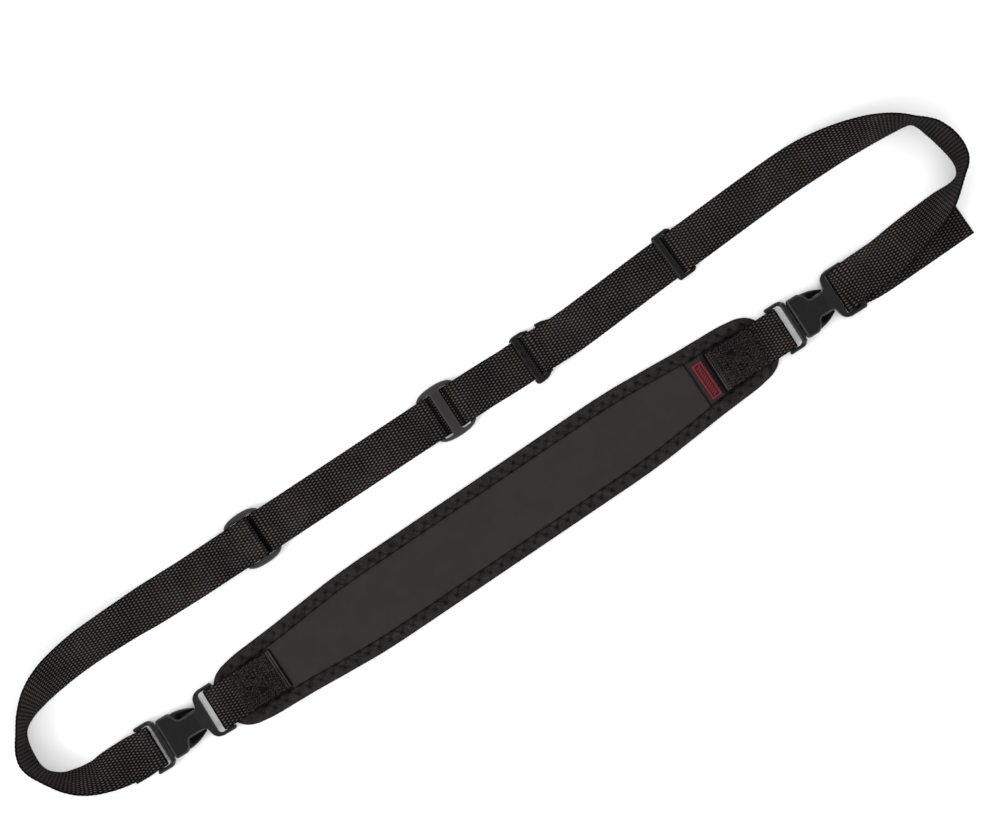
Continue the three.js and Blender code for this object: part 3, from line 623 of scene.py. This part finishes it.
EDGE_FLARE = 0.25 * MM  # how far the bound edge's loops stand out on each side
DIVE_SHADE_SLOPES = (0.56, 0.74)  # slopes at which painted shade on diving webbing begins, and at which it is darkest
SEWN_ROWS = (23.6 * MM, 26.6 * MM, 33.1 * MM)  # how far behind the slider the fold is sewn
SEWN_ROW_HALF_WIDTH = 11.5 * MM
FOLD_LENGTH = 0.12  # of the left run, in metres, in which its fold and the rows lie
SECTION = [  # how far across the half width, and the share of the half thickness there
    (1.0, 0.35), (0.985, 0.75), (0.95, 0.95), *((across, 1.0) for across in (0.88, 0.76, 0.6, 0.4, 0.2, 0.0)),
]


def section_outline():
    """The webbing's outline from its inner edge round its outer face to its other edge and back."""
    right = [(across, share, 1) for across, share in SECTION]
    top = right + [(-across, share, 1) for across, share, _ in reversed(right[:-1])]
    return top + [(across, -share, -1) for across, share, _ in reversed(top)]


def webbing_body(run, name, sample):
    """The closed body of a run of webbing, with its places along and across kept for the weave."""
    rings = max(8, round(run.length / sample))
    distances = np.linspace(0, run.length, rings + 1)
    middles, across, face = run.at(distances)
    sideways, share, side = np.array(section_outline()).T
    sideways = sideways * (run.half_width + EDGE_FLARE)
    thick = share * run.half_thickness
    points = middles[:, None] + across[:, None] * sideways[:, None] + face[:, None] * thick[:, None]
    points[..., 2] = np.maximum(points[..., 2], 0)
    woven = np.stack(np.broadcast_arrays(distances[:, None], sideways, side * MM), axis=-1)
    made = tube(name, points)
    keep(made.data, "woven", woven, "FLOAT_VECTOR")
    # painted shade, kept for the finish: dark where the run dives steeply past a bar
    slope = np.abs(np.gradient(middles[:, 2], distances))
    painted_shade = ramp(np.convolve(slope, np.full(7, 1 / 7), mode="same"), *DIVE_SHADE_SLOPES)
    # upright: half as much painted shade where the webbing stands on edge in a turn
    upright = 0.5 * ramp(np.abs(across[:, 2]), 0.8, 1.0)
    keep(made.data, "painted_shade", np.repeat(np.maximum(painted_shade, upright), len(side)))
    return made


class Tab:
    """How a tab is sewn down: the stitched area of its upper layer, its folded end, and a painted shadow at
    its end.
    """

    brightness = 0.76
    bar_pitch = 1.5 * MM

    def __init__(self, shadowed_end, sewn_to):
        self.shadowed_end = shadowed_end
        self.sewn_to = sewn_to

    def sewn_down(self, finish, place, along, weave):
        """The weave, broken up by the stitching over it, with two smooth bars at the folded end and painted
        shadow before them.
        """
        bars_end = self.shadowed_end + 2 * self.bar_pitch
        sewn = along.clamped(bars_end, bars_end + 1 * MM) * (
            1 - along.clamped(self.sewn_to - 1 * MM, self.sewn_to + 1 * MM))
        broken = finish.noise(place, 1.3 * MM, detail=4, roughness=0.75)
        crossed = weave * (1 - 0.6 * sewn) + sewn * (4.2 * (broken - 0.5) - 0.1)
        bars = 0.2 - 0.45 * (along - self.shadowed_end).waves(self.bar_pitch)
        folded = 1 - along.clamped(bars_end - 0.2 * MM, bars_end + 0.2 * MM)
        # painted shadow: the stretch up to the shadowed end is made almost black
        end_shadow = 1 - along.clamped(self.shadowed_end - 0.3 * MM, self.shadowed_end + 0.1 * MM)
        return crossed * (1 - folded) + folded * bars - 3 * end_shadow


def make_webbing(settings, node, name, first_end, tab=None):
    run = Run(node, first_end)
    ribs = rib_pattern(webbing_finish(settings, name + "_weave", run.half_width + EDGE_FLARE, tab))
    body = webbing_body(run, name + "_blank", settings.rib_pitch / 5)
    piece = ribs.run_on(body, name, {"Rib Pitch": settings.rib_pitch, "Rib Depth": settings.rib_depth})
    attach(piece, BODY)
    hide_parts(node)
    return run


def sewn_fold_rows(run):
    """Rows of stitches across the left webbing behind its slider, where the fold is sewn."""
    low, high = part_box("triglide_sewn")
    slider = np.array((low + high) / 2)
    degrees = HARDWARE["triglide_sewn"][2]
    heading = np.array((math.cos(math.radians(degrees)), math.sin(math.radians(degrees)), 0))
    distances = np.linspace(0, FOLD_LENGTH, 601)
    ahead = (run.at(distances)[0] - slider) @ heading
    apex = int(np.argmax(ahead))
    rows = []
    sideways = np.linspace(-SEWN_ROW_HALF_WIDTH, SEWN_ROW_HALF_WIDTH, 12)
    for behind in SEWN_ROWS:
        distance = float(np.interp(behind, -ahead[apex:], distances[apex:]))
        rows.append(run.surface(distance, sideways, 0.1 * MM))
    return rows


# ---- pad


def pad_to_world(points):
    return np.asarray(points) @ PAD_TURN.T + np.array(PAD_CENTRE)


class PadOutline:
    """The pad's half width, thickness and foot along its length, read from its CAD node."""

    def __init__(self):
        shape = merged_copy("pad_body")
        flat = np.array([tuple(v.co - PAD_CENTRE) for v in shape.verts]) @ PAD_TURN
        shape.free()
        stations = {}
        for along, sideways, height in flat:
            stations.setdefault(round(along, 4), []).append((sideways, height))
        rows = [
            (along, max(p[0] for p in places), max(p[1] for p in places), min(p[1] for p in places))
            for along, places in sorted(stations.items()) if min(p[1] for p in places) < 0.7 * MM]
        places, *columns = np.array(rows).T
        self.end = places[-1]
        self.widths, self.heights, self.feet, self.slopes = (
            partial(hermite, places, values) for values in (*columns, np.gradient(columns[0], places)))

    def from_edge(self, along, sideways):
        """Distance in from the outline, square to it."""
        return (self.widths(along) - np.abs(sideways)) / np.sqrt(1 + self.slopes(along) ** 2)


RIM_REACH = 3.6 * MM  # how far in from the outline the rim's rounding goes
RIM_FOOT = 1.6 * MM
RIM_WAIST = 0.45  # the share of the thickness at which the rim stands out furthest
PAD_END = 6.0 * MM  # how far in from its ends the pad's cross sections lie closer together
SEAM_END = 186 * MM  # how far along the pad its zigzag seam goes
PANEL_SPAN = (-157.0 * MM, 145.6 * MM)
LEFT_TAB_EDGE = -155.9 * MM
PANEL_RECESS = 1.3 * MM
PANEL_PROUD = 0.25 * MM
LABEL_SPAN = (146.2 * MM, 156.2 * MM)
LABEL_HALF_WIDTH = 13.9 * MM


class PadSurface:
    """Heights of the pad's upper side. Its rows are how far in the seam's needle points lie, inner first."""

    def __init__(self, settings):
        self.outline = PadOutline()
        self.border = settings.border
        self.pitch = settings.zigzag_pitch
        self.depth = settings.dimple_depth
        self.rows = settings.border - 0.2 * MM, settings.border - settings.zigzag_width

    def waves(self, along):
        """1 at the seam's inner needle points, and -1 at its outer ones."""
        return np.cos(2 * np.pi * along / self.pitch)

    def needle_pull(self, along, inset):
        """How far the zigzag seam pulls the foam in: deep at its needle points, a little along its legs."""
        phase = along / self.pitch
        inner_row, outer_row = self.rows
        to_inner = (phase - np.round(phase)) * self.pitch
        to_outer = (phase - np.floor(phase) - 0.5) * self.pitch
        pull = bump(np.hypot(to_inner, inset - inner_row), 1.3 * MM)
        pull = np.maximum(pull, bump(np.hypot(to_outer, inset - outer_row), 1.25 * MM))
        swing = np.abs(phase - np.round(phase)) * 2
        leg = inner_row + (outer_row - inner_row) * swing
        return self.depth * np.maximum(pull, 0.2 * bump(inset - leg, 0.8 * MM))

    def seam_shade(self, along, sideways):
        """How much painted shade the fabric gets, from 0 to 1: in the dimples at needle points, in the seam's
        groove and along the outer rim.
        """
        inset = self.outline.from_edge(along, sideways)
        needles = self.needle_pull(along, inset) / self.depth
        seam = bump(inset - self.border, (0.8 + 0.35 * self.waves(along)) * MM)
        rim = 0.8 * bump(inset, 0.6 * MM)
        return np.clip(np.maximum(np.maximum(1.1 * needles, seam), rim), 0, 1)

    def top(self, along, sideways):
        """Height of the border and what lies under the panel."""
        outline, border = self.outline, self.border
        along, sideways = np.broadcast_arrays(np.asarray(along, float), np.asarray(sideways, float))
        inset = np.clip(outline.from_edge(along, sideways), 0, None)
        foot = outline.feet(along)
        rounding = np.sqrt(1 - (1 - np.minimum(inset, RIM_REACH) / RIM_REACH) ** 2)
        height = foot + (outline.heights(along) - foot) * (RIM_WAIST + (1 - RIM_WAIST) * rounding)
        crown = 0.3 * MM * np.sin(np.pi * np.clip(inset / border, 0, 1)) ** 0.8
        groove = 0.5 * MM * bump(inset - border, 0.7 * MM)
        low, high = PANEL_SPAN
        under_panel = ramp(inset, border - 0.2 * MM, border + 0.5 * MM) * ((along > low) & (along < high))
        reach = ramp(inset, 0, 2.5 * MM)
        return height + crown - (groove + self.needle_pull(along, inset)) * reach - PANEL_RECESS * under_panel

    def panel(self, along, sideways):
        """Height of the grip panel: flat, turned down at the seam and puckered between its needle points."""
        inset = self.outline.from_edge(along, sideways) - self.border
        waves = self.waves(along)
        edge = (0.75 + 0.3 * waves) * MM * bump(inset, 1.0 * MM)
        pucker = 0.1 * MM * waves * np.exp(-np.clip(inset, 0, None) / (3 * MM))
        low, high = PANEL_SPAN
        ends = 0.5 * MM * (bump(along - low, 0.8 * MM) + bump(along - high, 0.8 * MM))
        return self.outline.heights(along) + PANEL_PROUD - edge - pucker - ends

    def zigzag(self, side):
        """The seam's thread on one side: from one needle point to the next, on the surface."""
        lines = []
        last = round(2 * SEAM_END / self.pitch)
        for step in range(-last, last):
            needles = [(each * self.pitch / 2, self.rows[each % 2]) for each in (step, step + 1)]
            along, inset = np.linspace(*needles, 9).T
            sideways = side * (self.outline.widths(along) - inset)
            height = self.top(along, sideways) + 0.12 * MM
            lines.append(pad_to_world(np.column_stack([along, sideways, height])))
        return lines


def pad_body(surface, name):
    """The pad's padding, as a closed shape with its dimples and the recess for the panel."""
    outline, border = surface.outline, surface.border
    near_end = outline.end - PAD_END
    along = np.concatenate([
        np.linspace(-outline.end, -near_end, 13)[:-1], np.arange(-near_end, near_end, 0.8 * MM),
        np.linspace(near_end, outline.end, 13)])
    rim = [RIM_REACH * (1 - math.cos(math.radians(turn))) for turn in range(0, 90, 12)]
    insets = rim + list(np.arange(RIM_REACH, border + 1.5 * MM, 0.55 * MM))
    widths, feet, heights = outline.widths(along), outline.feet(along), outline.heights(along)
    upper = [widths - inset for inset in insets]
    upper += [upper[-1] * share for share in (0.75, 0.5, 0.25)]

    def half(side):
        """Columns of the pad's cross sections from low on one side's rim almost to the middle."""
        columns = []
        for turn in (90, 60, 30):
            inset = RIM_FOOT * (1 - math.cos(math.radians(turn)))
            height = feet + (heights - feet) * RIM_WAIST * (1 - math.sin(math.radians(turn)))
            columns.append(np.column_stack([along, side * (widths - inset), height]))
        return columns + [np.column_stack([along, side * w, surface.top(along, side * w)]) for w in upper]

    middle = np.column_stack([along, 0 * along, surface.top(along, 0 * along)])
    shares = (-0.66, -0.33, 0, 0.33, 0.66)
    underside = [np.column_stack([along, (widths - RIM_FOOT) * share, feet]) for share in shares]
    ring = half(1) + [middle] + half(-1)[::-1] + underside
    points = np.stack(ring, axis=1)
    made = tube(name, pad_to_world(points))
    # painted shade of the dimples, seam groove and rim, for the jersey's finish
    keep(made.data, "pulled", surface.seam_shade(points[..., 0], points[..., 1]))
    return made


def slab(name, along, across, top, thickness):
    """A thin closed sheet that follows a height: across holds the sideways places for each place along."""
    along = np.broadcast_to(along[:, None], across.shape)
    upper = np.stack([along, across, top(along, across)], axis=-1)
    lower = upper[:, ::-1] - (0, 0, thickness)
    points = np.concatenate([upper, lower], axis=1)
    made = tube(name, pad_to_world(points))
    keep(made.data, "woven", points * (1, 1, 0), "FLOAT_VECTOR")
    return made


def panel_sheet(surface, name):
    along = np.arange(PANEL_SPAN[0], PANEL_SPAN[1] + 0.1 * MM, 1.0 * MM)
    half = surface.outline.widths(along) - surface.border
    edge = np.array([0, 0.25, 0.6, 1.0, 1.5, 2.2, 3.2, 5.0, 8.0, 12.0]) * MM
    right = half[:, None] - edge[None, :]
    across = np.concatenate([right, 0 * half[:, None], -right[:, ::-1]], axis=1)
    return slab(name, along, across, surface.panel, 0.9 * MM), half


# ---- label

FIGURE_PLACE = (151.7 * MM, -0.6 * MM)  # its middle, along and across the pad
FIGURE_HALF_LENGTH = 2.8 * MM
FIGURE_HALF_WIDTH = 11.1 * MM
BARS = 11
BAR_REACH = 8.9 * MM  # how far the outermost bars are from the figure's middle
BAR_SLANT = 0.8 * MM


def label_height(surface):
    def height(along, sideways):
        low, high = LABEL_SPAN
        ends = bump(along - low, 0.5 * MM) + bump(along - high, 0.5 * MM)
        sides = bump(np.abs(sideways) - LABEL_HALF_WIDTH, 0.9 * MM)
        return surface.outline.heights(along) + (0.75 - 0.3 * ends - 0.45 * sides) * MM
    return height


def label_sheet(surface, name):
    along = np.linspace(*LABEL_SPAN, 26)
    across = np.linspace(LABEL_HALF_WIDTH, -LABEL_HALF_WIDTH, 60)[None, :].repeat(len(along), axis=0)
    return slab(name, along, across, label_height(surface), 0.5 * MM)


def label_figure_lines(surface):
    """A plain frame of satin stitches with slanted bars in it, which stands for nothing."""
    height = label_height(surface)

    def line(start, end):
        along, sideways = np.linspace(start, end, 12).T
        return pad_to_world(np.column_stack([along, sideways, height(along, sideways) + 0.15 * MM]))

    left, right = (FIGURE_PLACE[0] + side * FIGURE_HALF_LENGTH for side in (-1, 1))
    low, high = (FIGURE_PLACE[1] + side * FIGURE_HALF_WIDTH for side in (-1, 1))
    frame_lines = [line((end, low), (end, high)) for end in (left, right)]
    frame_lines += [line((left, side), (right, side)) for side in (low, high)]
    bars = [
        line((left + 1.5 * MM, middle - BAR_SLANT), (right - 1.5 * MM, middle + BAR_SLANT))
        for middle in FIGURE_PLACE[1] + np.linspace(-BAR_REACH, BAR_REACH, BARS)]
    return frame_lines, bars


# ---- tabs

BOX_NEAR = 3.0 * MM  # from the folded end of the tab
BOX_FAR = 30.0 * MM
BOX_HALF_WIDTH = 11.6 * MM
BOX_INSETS = (0.0, 1.9 * MM, 3.8 * MM)  # of the box's three rounds
BOX_SWING = 0.7 * MM
CROSS_INSET = 4.4 * MM
CROSS_OFFSET = 1.3 * MM
CROSS_SWING = 0.8 * MM
SEAM_STEP = 0.8 * MM  # from one needle point of a seam to the next


def tab_seams(run):
    """The box and cross that hold a tab on the pad, as lines on its upper layer."""
    def line(start, end, swing):
        steps = max(2, round(math.dist(start, end) / SEAM_STEP))
        along, sideways = np.linspace(start, end, steps + 1).T
        aside = np.where(np.arange(steps + 1) % 2, swing, -swing)
        ahead = unit(np.subtract(end, start))
        return run.surface(along - aside * ahead[1], sideways + aside * ahead[0], 0.12 * MM)

    lines = []
    for inset in BOX_INSETS:
        near, far, side = BOX_NEAR + inset, BOX_FAR - inset, BOX_HALF_WIDTH - inset
        lines += [line((end, -side), (end, side), BOX_SWING) for end in (near, far)]
        lines += [line((near, edge), (far, edge), BOX_SWING) for edge in (-side, side)]
    near, far, side = BOX_NEAR + CROSS_INSET, BOX_FAR - CROSS_INSET, BOX_HALF_WIDTH - CROSS_INSET
    for offset in (-CROSS_OFFSET, CROSS_OFFSET):
        lines += [line((near, edge + offset), (far, offset - edge), CROSS_SWING) for edge in (-side, side)]
    return lines


# ---- moulded hardware

HARDWARE = {  # node: piece, slot, how far it is turned in degrees
    "buckle_left_female": ("left_buckle_socket", "buckle_plastic", 31.5),
    "buckle_left_male": ("left_buckle_prongs", "buckle_plastic", 31.5),
    "buckle_right_female": ("right_buckle_socket", "buckle_plastic", 32.8),
    "buckle_right_male": ("right_buckle_prongs", "buckle_plastic", 32.8),
    "triglide_sewn": ("sewn_slider", "slider_plastic", 33.4),
    "triglide_middle": ("middle_slider", "slider_plastic", 33.2),
    "ladder_adjuster": ("toothed_adjuster", "adjuster_plastic", 34.0),
    "strap_keeper": ("webbing_keeper", "adjuster_plastic", 36.0),
}


LIP = {"width": 1.5, "drop": 0.7}  # the adjusters' sloping left edge, in millimetres
BOW_RADIUS = 16.0  # of the sliders' bowed ends, in millimetres
PRONG = {  # in millimetres, but for the slope. The inner edge bends from its first place to its last.
    "before_tip": 29.1, "bend": 3.5, "inner_edge": (8.2, 7.1, 6.7), "neck_edge": 6.65, "slope_width": 3.0,
    "slope": 0.6,
}


def thicken_prongs(places, low, high):
    """Thickens a buckle's prongs inwards, up to the neck between them, with a slope down to it."""
    reach = high[0] - low[0] - PRONG["before_tip"] + PRONG["bend"]
    ahead = places[:, 0] - (high[0] - reach)
    aside = places[:, 1] - (low[1] + high[1]) / 2
    share = np.clip(ahead / reach, 0, 1)
    first, pull, last = PRONG["inner_edge"]
    inner_edge = first * (1 - share) ** 2 + 2 * pull * share * (1 - share) + last * share**2
    near = np.clip(1 - (np.abs(aside) - inner_edge) / PRONG["slope_width"], 0, 1) * ramp(ahead, 0, 1.4)
    places[:, 1] -= np.sign(aside) * near * (inner_edge - PRONG["neck_edge"])
    places[:, 2] -= PRONG["slope"] * near * (places[:, 2] - low[2])


def shape_moulding(mesh, kind):
    """Slopes an adjuster's left edge, thickens prongs, or marks how far out on a slider's bow places are."""
    places = read_points(mesh, "co")
    low, high = places.min(axis=0), places.max(axis=0)
    if kind == "adjuster_plastic":
        middle = (low[2] + high[2]) / 2
        upper = np.clip((places[:, 2] - middle) / (high[2] - middle), 0, 1)
        outwards = np.clip(1 - (places[:, 0] - low[0]) / LIP["width"], 0, 1)
        places[:, 2] -= LIP["drop"] * upper * outwards
    if kind == "buckle_plastic" and mesh.name.endswith("_prongs"):
        thicken_prongs(places, low, high)
    if kind == "slider_plastic":
        centred = places - (low + high) / 2
        keep(mesh, "bowed", (np.abs(centred[:, 1]) + centred[:, 0] ** 2 / (2 * BOW_RADIUS)) * MM)
    mesh.vertices.foreach_set("co", places.ravel())


def mark_edge_highlights(mesh):
    """Marks the rounded upper edges, where the finish paints a highlight lighter than the rest."""
    upward = read_points(mesh, "normal")[:, 2]
    keep(mesh, "edge_highlight", ramp(upward, 0.2, 0.5) * (1 - ramp(upward, 0.82, 0.96)))


def moulded(node, name, slot, degrees, settings):
    """The CAD node's shape with its edges rounded, as if moulded."""
    turn = Matrix.Rotation(math.radians(degrees), 4, "Z") @ Matrix.Scale(MM, 4)
    shape = merged_copy(node)
    bmesh.ops.transform(shape, matrix=turn.inverted(), verts=shape.verts)
    made = mesh_object(name + "_blank", [], [])
    shape.to_mesh(made.data)
    shape.free()
    remesh = made.modifiers.new("cells", "REMESH")
    remesh.mode = "VOXEL"
    remesh.voxel_size = settings.grain / MM
    remesh.use_smooth_shade = True
    soften = made.modifiers.new("soften", "SMOOTH")
    soften.factor = 0.5
    soften.iterations = settings.smoothing
    piece = made_real(made, name)
    mark_edge_highlights(piece.data)
    shape_moulding(piece.data, slot)
    piece.data.transform(turn)
    return piece


# ---- operators

AIM = (1.74 * MM, 28.42 * MM)  # the place on the floor that the camera looks straight down at
FLOOR_REACH = 4.0
SKY_STRENGTH = 1.2
SOFTBOXES = (  # name, place, size, share of the power
    ("left_softbox", (-1.4, -0.85, 1.3), 0.4, 1.0),
    ("front_softbox", (0.6, -1.6, 1.2), 0.5, 0.7),
    ("back_softbox", (0.4, 1.7, 1.5), 0.8, 0.5),
)


def settle(piece, nodes=(), material=None):
    """Puts a finished piece on the body, in place of CAD nodes where it stands for them."""
    if material is not None:
        piece.data.materials.clear()
        piece.data.materials.append(material)
    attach(piece, BODY)
    if nodes:
        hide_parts(*nodes)
    return piece


class STRAP_OT_webbing(bpy.types.Operator):
    """Make the two long runs of webbing and the stitches of the sewn fold"""

    bl_idname = "strap.webbing"
    bl_label = "Webbing"

    def execute(self, context):
        strap = context.scene.neck_strap
        settings, thread = strap.webbing, strap.thread
        left = make_webbing(
            settings, "webbing_left", "left_webbing", (0, 1, 0))
        make_webbing(
            settings, "webbing_right", "right_webbing", (-1, 0, 0))
        stitches = sewn(
            "sewn_fold_stitches", sewn_fold_rows(left), thread_finish("strap_thread", thread.black), thread,
            pitch=2.1 * MM)
        settle(stitches)
        return {"FINISHED"}


class STRAP_OT_pad(bpy.types.Operator):
    """Make the pad, its grip panel and the zigzag seam of its border"""

    bl_idname = "strap.pad"
    bl_label = "Pad"

    def execute(self, context):
        strap = context.scene.neck_strap
        settings, thread = strap.pad, strap.thread
        surface = PadSurface(settings)
        body = pad_body(surface, "pad_padding")
        settle(body, ["pad_body"], jersey_finish(settings))
        sheet, half = panel_sheet(surface, "grip_panel")
        settle(sheet, ["pad_panel"], grip_finish(settings))
        lines = surface.zigzag(1) + surface.zigzag(-1)
        seam = sewn(
            "pad_seam_thread", lines, thread_finish("pad_thread", shade(thread.black, 0.12)), thread,
            pitch=2.0 * MM, thickness=0.34 * MM)
        settle(seam)
        return {"FINISHED"}


class STRAP_OT_label(bpy.types.Operator):
    """Make the woven label and its plain stitched figure"""

    bl_idname = "strap.label"
    bl_label = "Label"

    def execute(self, context):
        strap = context.scene.neck_strap
        surface, thread = PadSurface(strap.pad), strap.thread
        strip = settle(label_sheet(surface, "label_strip"), ["label"], label_finish())
        red = thread_finish("red_thread", thread.red)
        frame_lines, bars = label_figure_lines(surface)
        for name, lines, width in (("label_frame", frame_lines, 1.15 * MM), ("label_bars", bars, 0.9 * MM)):
            figure = sewn(name, lines, red, thread, pitch=0.42 * MM, stitch=width, turn=math.pi / 2)
            settle(figure)
        return {"FINISHED"}


class STRAP_OT_tabs(bpy.types.Operator):
    """Make the two webbing tabs and the box stitching that holds them on the pad"""

    bl_idname = "strap.tabs"
    bl_label = "Tabs"

    def execute(self, context):
        strap = context.scene.neck_strap
        settings, thread = strap.webbing, strap.thread
        threads = thread_finish("tab_thread", thread.black)
        # each tab's first number is how long the painted shadow at its end is
        for side, buckle_piece, tab in (
            ("left", "left_buckle_socket", Tab(0.0, 29 * MM)),
            ("right", "right_buckle_prongs", Tab(1.3 * MM, 34 * MM)),
        ):
            run = make_webbing(
                settings, f"pad_tab_{side}", f"{side}_tab", (0, 0, 1),
                tab)
            stitches = sewn(f"{side}_tab_stitches", tab_seams(run), threads, thread, pitch=1.1 * MM)
            settle(stitches)
        return {"FINISHED"}


class STRAP_OT_hardware(bpy.types.Operator):
    """Make the buckles, sliders, toothed adjuster and keeper"""

    bl_idname = "strap.hardware"
    bl_label = "Buckles and adjusters"

    def execute(self, context):
        settings = context.scene.neck_strap.hardware
        finishes = {
            "buckle_plastic": plastic_finish("buckle_plastic", settings.black, 0.3, 0.13),
            "slider_plastic": plastic_finish(
                "slider_plastic", settings.grey, 0.38, 0.25, highlight_line_pitch=1.15 * MM),
            # the adjusters get less of the painted edge highlight
            "adjuster_plastic": plastic_finish("adjuster_plastic", settings.jet, 0.15, 0.12, wear=0.3),
        }
        for node, (name, slot, degrees) in HARDWARE.items():
            settle(moulded(node, name, slot, degrees, settings), [node], finishes[slot])
        return {"FINISHED"}


class STRAP_OT_stage(bpy.types.Operator):
    """Set up the floor, the light and the camera"""

    bl_idname = "strap.stage"
    bl_label = "Stage"

    def execute(self, context):
        studio = context.scene.neck_strap.studio
        floor_finish = Finish("floor", Base_Color=shade(studio.floor), Roughness=0.9, Specular_IOR_Level=0.1)
        corners = [(x * FLOOR_REACH, y * FLOOR_REACH, 0) for x, y in ((-1, -1), (1, -1), (1, 1), (-1, 1))]
        floor = mesh_object("floor", corners, [(0, 1, 2, 3)], smooth=False)
        floor.data.materials.append(floor_finish.material)
        sky = bpy.data.worlds.new("studio")
        sky.use_nodes = True
        background = sky.node_tree.nodes["Background"]
        background.inputs["Color"].default_value = (1, 1, 1, 1)
        background.inputs["Strength"].default_value = SKY_STRENGTH
        context.scene.world = sky
        for name, place, size, share in SOFTBOXES:
            light = bpy.data.lights.new(name, "AREA")
            light.size = size
            light.energy = share * studio.power
            lamp = placed(name, light)
            lamp.location = place
            lamp.rotation_euler = (-Vector(place)).to_track_quat("-Z", "Y").to_euler()
        lens = bpy.data.cameras.new("camera")
        lens.angle = 2 * math.atan(studio.view_width / 2 / studio.view_height)
        camera = placed("camera", lens)
        camera.location = (*AIM, studio.view_height)
        context.scene.camera = camera
        context.scene.view_settings.view_transform = "Standard"
        return {"FINISHED"}


class STRAP_PT_panel(bpy.types.Panel):
    """Lists the steps that make the neck strap"""

    bl_idname = "STRAP_PT_panel"
    bl_label = "Neck Strap"
    bl_space_type = "VIEW_3D"
    bl_region_type = "UI"
    bl_category = "Strap"

    def draw(self, context):
        for operator in OPERATORS:
            self.layout.operator(operator.bl_idname)


OPERATORS = (
    STRAP_OT_hardware, STRAP_OT_webbing, STRAP_OT_pad, STRAP_OT_label, STRAP_OT_tabs, STRAP_OT_stage,
)
CLASSES = (
    WebbingSettings, PadSettings, HardwareSettings, ThreadSettings, StudioSettings, StrapSettings,
    *OPERATORS, STRAP_PT_panel,
)


def register():
    for each in CLASSES:
        bpy.utils.register_class(each)
    bpy.types.Scene.neck_strap = PointerProperty(type=StrapSettings)


def unregister():
    del bpy.types.Scene.neck_strap
    for each in reversed(CLASSES):
        bpy.utils.unregister_class(each)


def main():
    register()
    bpy.ops.strap.hardware()
    bpy.ops.strap.webbing()
    bpy.ops.strap.pad()
    bpy.ops.strap.label()
    bpy.ops.strap.tabs()
    bpy.ops.strap.stage()


if __name__ == "__main__":
    main()
